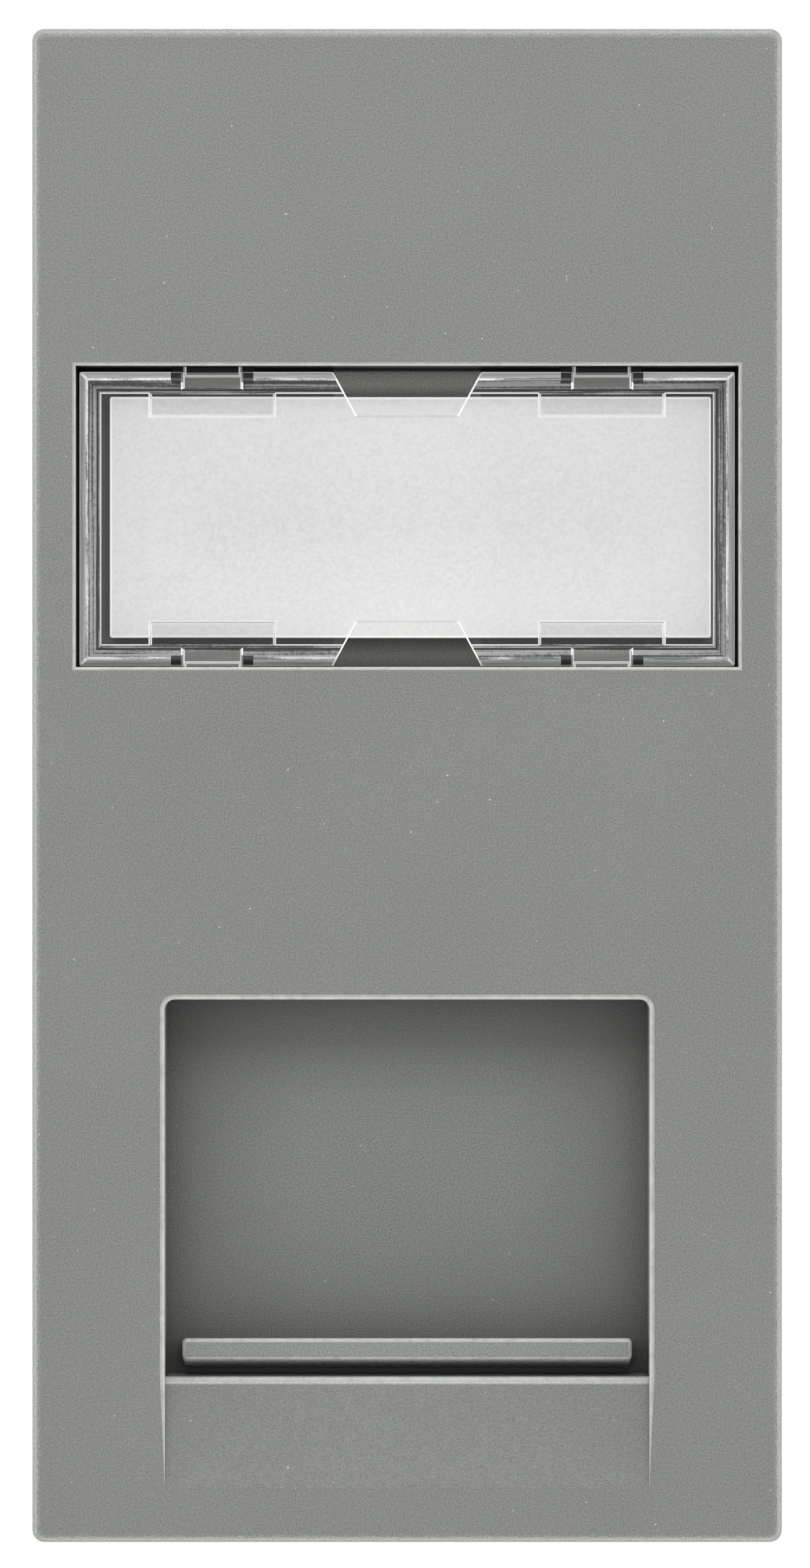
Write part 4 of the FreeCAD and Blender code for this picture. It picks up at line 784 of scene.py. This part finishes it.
def softened(
    name, body, finish, radius, segments=2, where=everywhere, edge_finish=None, places=(),
    edge_places=(), drafts=(),
):
    """A copy of a CAD node with its sharp edges rounded as tooling leaves them. It stands for the node.
    Its rounded edges, and the faces and rounded edges at some places, may have a finish of their own.
    Drafts move the corners at some places up or down."""
    own_finishes = [own_finish for _, own_finish in [*places, *edge_places]]
    piece = copied(name, [finish, edge_finish or finish, *own_finishes])
    for found, rise in drafts:
        move_corners(piece, found, rise)
    bpy.ops.mesh.select_all(action="DESELECT")
    mesh = bmesh.from_edit_mesh(piece.data)
    for face in mesh.faces:
        for index, (found, _) in enumerate(places, start=2):
            if found(face):
                face.material_index = index
    for edge in mesh.edges:
        long_enough = edge.calc_length() > 3 * radius * MM
        edge.select = long_enough and edge.calc_face_angle() > SHARP_ANGLE and where(edge)
    bmesh.update_edit_mesh(piece.data)
    bpy.ops.mesh.bevel(
        offset=radius * MM, segments=segments, affect="EDGES", clamp_overlap=False,
        material=1 if edge_finish else -1,
    )
    # The bend of a rounded edge is split into flat facets, and the faces beside it stay whole.
    bpy.ops.mesh.select_mode(type="FACE")
    mesh = bmesh.from_edit_mesh(piece.data)
    for face in mesh.faces:
        for index, (found, _) in enumerate(edge_places, start=2 + len(places)):
            if face.material_index == 1 and found(face):
                face.material_index = index
        face.select_set(face.select and strip_width(face) < radius)
    bmesh.update_edit_mesh(piece.data)
    bpy.ops.mesh.vert_connect_nonplanar(angle_limit=FACET_ANGLE)
    bpy.ops.mesh.select_all(action="SELECT")
    bpy.ops.mesh.dissolve_degenerate(threshold=WELD * MM)
    bpy.ops.object.mode_set(mode="OBJECT")
    bpy.ops.object.shade_smooth_by_angle(angle=SMOOTH_ANGLE)
    flats = piece.modifiers.new("keep_flats_flat", "WEIGHTED_NORMAL")
    flats.keep_sharp = True
    bpy.ops.object.modifier_apply(modifier=flats.name)
    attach(piece, body)
    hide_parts(name)
    return piece


softened(
    "front_frame", "module", GREY, radius=0.08, where=outside_walls,
    # Painted light: a highlight on the lips and along the scoop's top, and shade in the label pocket.
    places=[(in_label_pocket, SHADED_GREY), (scoop_slope, SCOOP_GREY), (highlit_lip, EDGE_HIGHLIGHT)],
)
window = softened(
    "label_window", "module", CLEAR, radius=0.048, edge_finish=CLEAR_EDGE,
    places=[
        (tray_slope, CLEAR_BEVEL), (tray_foot, CLEAR_FOOT), (tray_pad, CLEAR_PAD), (tray_hook, CLEAR_HOOK),
    ],
    edge_places=[
        (tray_rim, CLEAR_RIM), (groove_end, CLEAR_FOOT), (foot_edge, CLEAR_RIM), (notch_end, CLEAR_PAD),
    ],
)
# The clear tray bends the view of what lies behind it, and throws no shadow on the label.
window.visible_shadow = False
window.visible_diffuse = False
softened("label_card", "module", PAPER, radius=0.07, edge_finish=PAPER_EDGE)
# The root of the grip ledge lies lower than its front, so that its underside shows.
softened(
    "shutter", "shutter", SHUTTER_GREY, radius=0.08,
    # Painted light: a highlight on the ledge's front edges, and a near-white underside.
    places=[(highlit_ledge_edge, EDGE_HIGHLIGHT), (ledge_underside, UNDERSIDE_LIGHT)],
    drafts=[(ledge_root_low, -0.2), (ledge_root_top, -0.12)],
)
softened("rear_carrier", "module", GREY, radius=0.1)
softened("jack_housing", "module", BLACK, radius=0.1)
softened("contact_comb", "module", NATURAL, radius=0.05)
softened("circuit_board", "module", BOARD, radius=0.03)
softened("idc_block", "module", BLACK, radius=0.08)
softened("wire_cap", "module", IVORY, radius=0.1)
for index in range(1, 9):
    softened(f"contact_{index}", "module", GOLD, radius=0.1, segments=3)
    softened(f"idc_terminal_{index}", "module", TIN, radius=0.04)
# The coil keeps its edges as they are, and gets a mesh of its own.
spring = softened("return_spring", "module", STEEL, radius=0.0, where=no_edges)
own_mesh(spring)


# Studio: a white floor, a white surround, a soft lamp above the camera and four long ones beside the face.
bpy.ops.object.select_all(action="DESELECT")
bpy.ops.mesh.primitive_plane_add(size=FLOOR_SIZE * MM, location=(0, 0, FACE_BOTTOM * MM))
floor = bpy.context.active_object
floor.name = "floor"
floor_material, _, floor_shader, _ = new_material("white_floor")
floor_shader.inputs["Base Color"].default_value = (FLOOR_SHARE, FLOOR_SHARE, FLOOR_SHARE, 1.0)
floor_shader.inputs["Roughness"].default_value = 0.9
floor_shader.inputs["Specular IOR Level"].default_value = 0.0
floor_shader.inputs["Emission Color"].default_value = WHITE
floor_shader.inputs["Emission Strength"].default_value = 1 - FLOOR_SHARE * FILL_LIGHT
floor.data.materials.append(floor_material)
# The floor is seen and takes the shadow, and lets the light from below through to the part.
floor.visible_diffuse = False
floor.visible_glossy = False
floor.visible_transmission = False
floor.visible_shadow = False

world = bpy.data.worlds.new("white_surround")
bpy.context.scene.world = world
world.use_nodes = True
world_tree = world.node_tree
rays = node(world_tree, "ShaderNodeLightPath")
shown = node(
    world_tree, "ShaderNodeMath",
    {0: rays.outputs["Is Camera Ray"], 1: rays.outputs["Is Glossy Ray"]}, operation="MAXIMUM",
)
shown = node(
    world_tree, "ShaderNodeMath",
    {0: shown.outputs[0], 1: rays.outputs["Is Transmission Ray"]}, operation="MAXIMUM",
)
strength = node(
    world_tree, "ShaderNodeMapRange",
    {"Value": shown.outputs[0], "To Min": FILL_LIGHT, "To Max": 1.0},
)
surround = world_tree.nodes["Background"]
surround.inputs["Color"].default_value = WHITE
world_tree.links.new(strength.outputs[0], surround.inputs["Strength"])


def soft_lamp(name, place, target, width, height, brightness):
    """A soft lamp that looks from its place to a target. Its brightness is that of its lit face."""
    lamp = bpy.data.lights.new(name, "AREA")
    lamp.shape = "RECTANGLE"
    lamp.size = width * MM
    lamp.size_y = height * MM
    lamp.energy = brightness * math.pi * lamp.size * lamp.size_y
    lamp.color = colour(WARM_WHITE)[:3]
    holder = bpy.data.objects.new(name, lamp)
    bpy.context.scene.collection.objects.link(holder)
    holder.location = Vector(place) * MM
    holder.rotation_euler = (Vector(target) - Vector(place)).to_track_quat("-Z", "Y").to_euler()
    holder.visible_camera = False


def soft_strip(name, x, z, ahead, depth, brightness):
    """A long soft lamp beside the face and a little ahead of it, which looks across the face."""
    size = (depth, STRIP_LENGTH) if x else (STRIP_LENGTH, depth)
    soft_lamp(name, (x, FACE_Y - ahead, z), (0, FACE_Y - ahead, 0), *size, brightness)


soft_strip("strip_left", -STRIP_DISTANCE, 0, ahead=14.0, depth=50.0, brightness=8.2)
soft_strip("strip_right", STRIP_DISTANCE, 0, ahead=14.0, depth=50.0, brightness=8.4)
soft_strip("strip_top", 0, STRIP_DISTANCE, ahead=26.0, depth=60.0, brightness=6.6)
soft_strip("strip_bottom", 0, -STRIP_DISTANCE, ahead=20.0, depth=50.0, brightness=8.0)
soft_lamp("key_above", (0, -250, 170), (0, FACE_Y, 0), width=200.0, height=120.0, brightness=3.0)

camera_data = bpy.data.cameras.new("camera")
camera_data.lens = LENS
camera_data.sensor_width = SENSOR
camera_data.clip_start = 0.01
camera_data.clip_end = 20.0
camera = bpy.data.objects.new("camera", camera_data)
bpy.context.scene.collection.objects.link(camera)
distance = LENS * PICTURE_HEIGHT / SENSOR
camera.location = Vector((PICTURE_CENTRE[0], FACE_Y - distance, PICTURE_CENTRE[1])) * MM
camera.rotation_euler = (math.pi / 2, 0, 0)
bpy.context.scene.camera = camera
bpy.context.scene.view_settings.view_transform = "Standard"
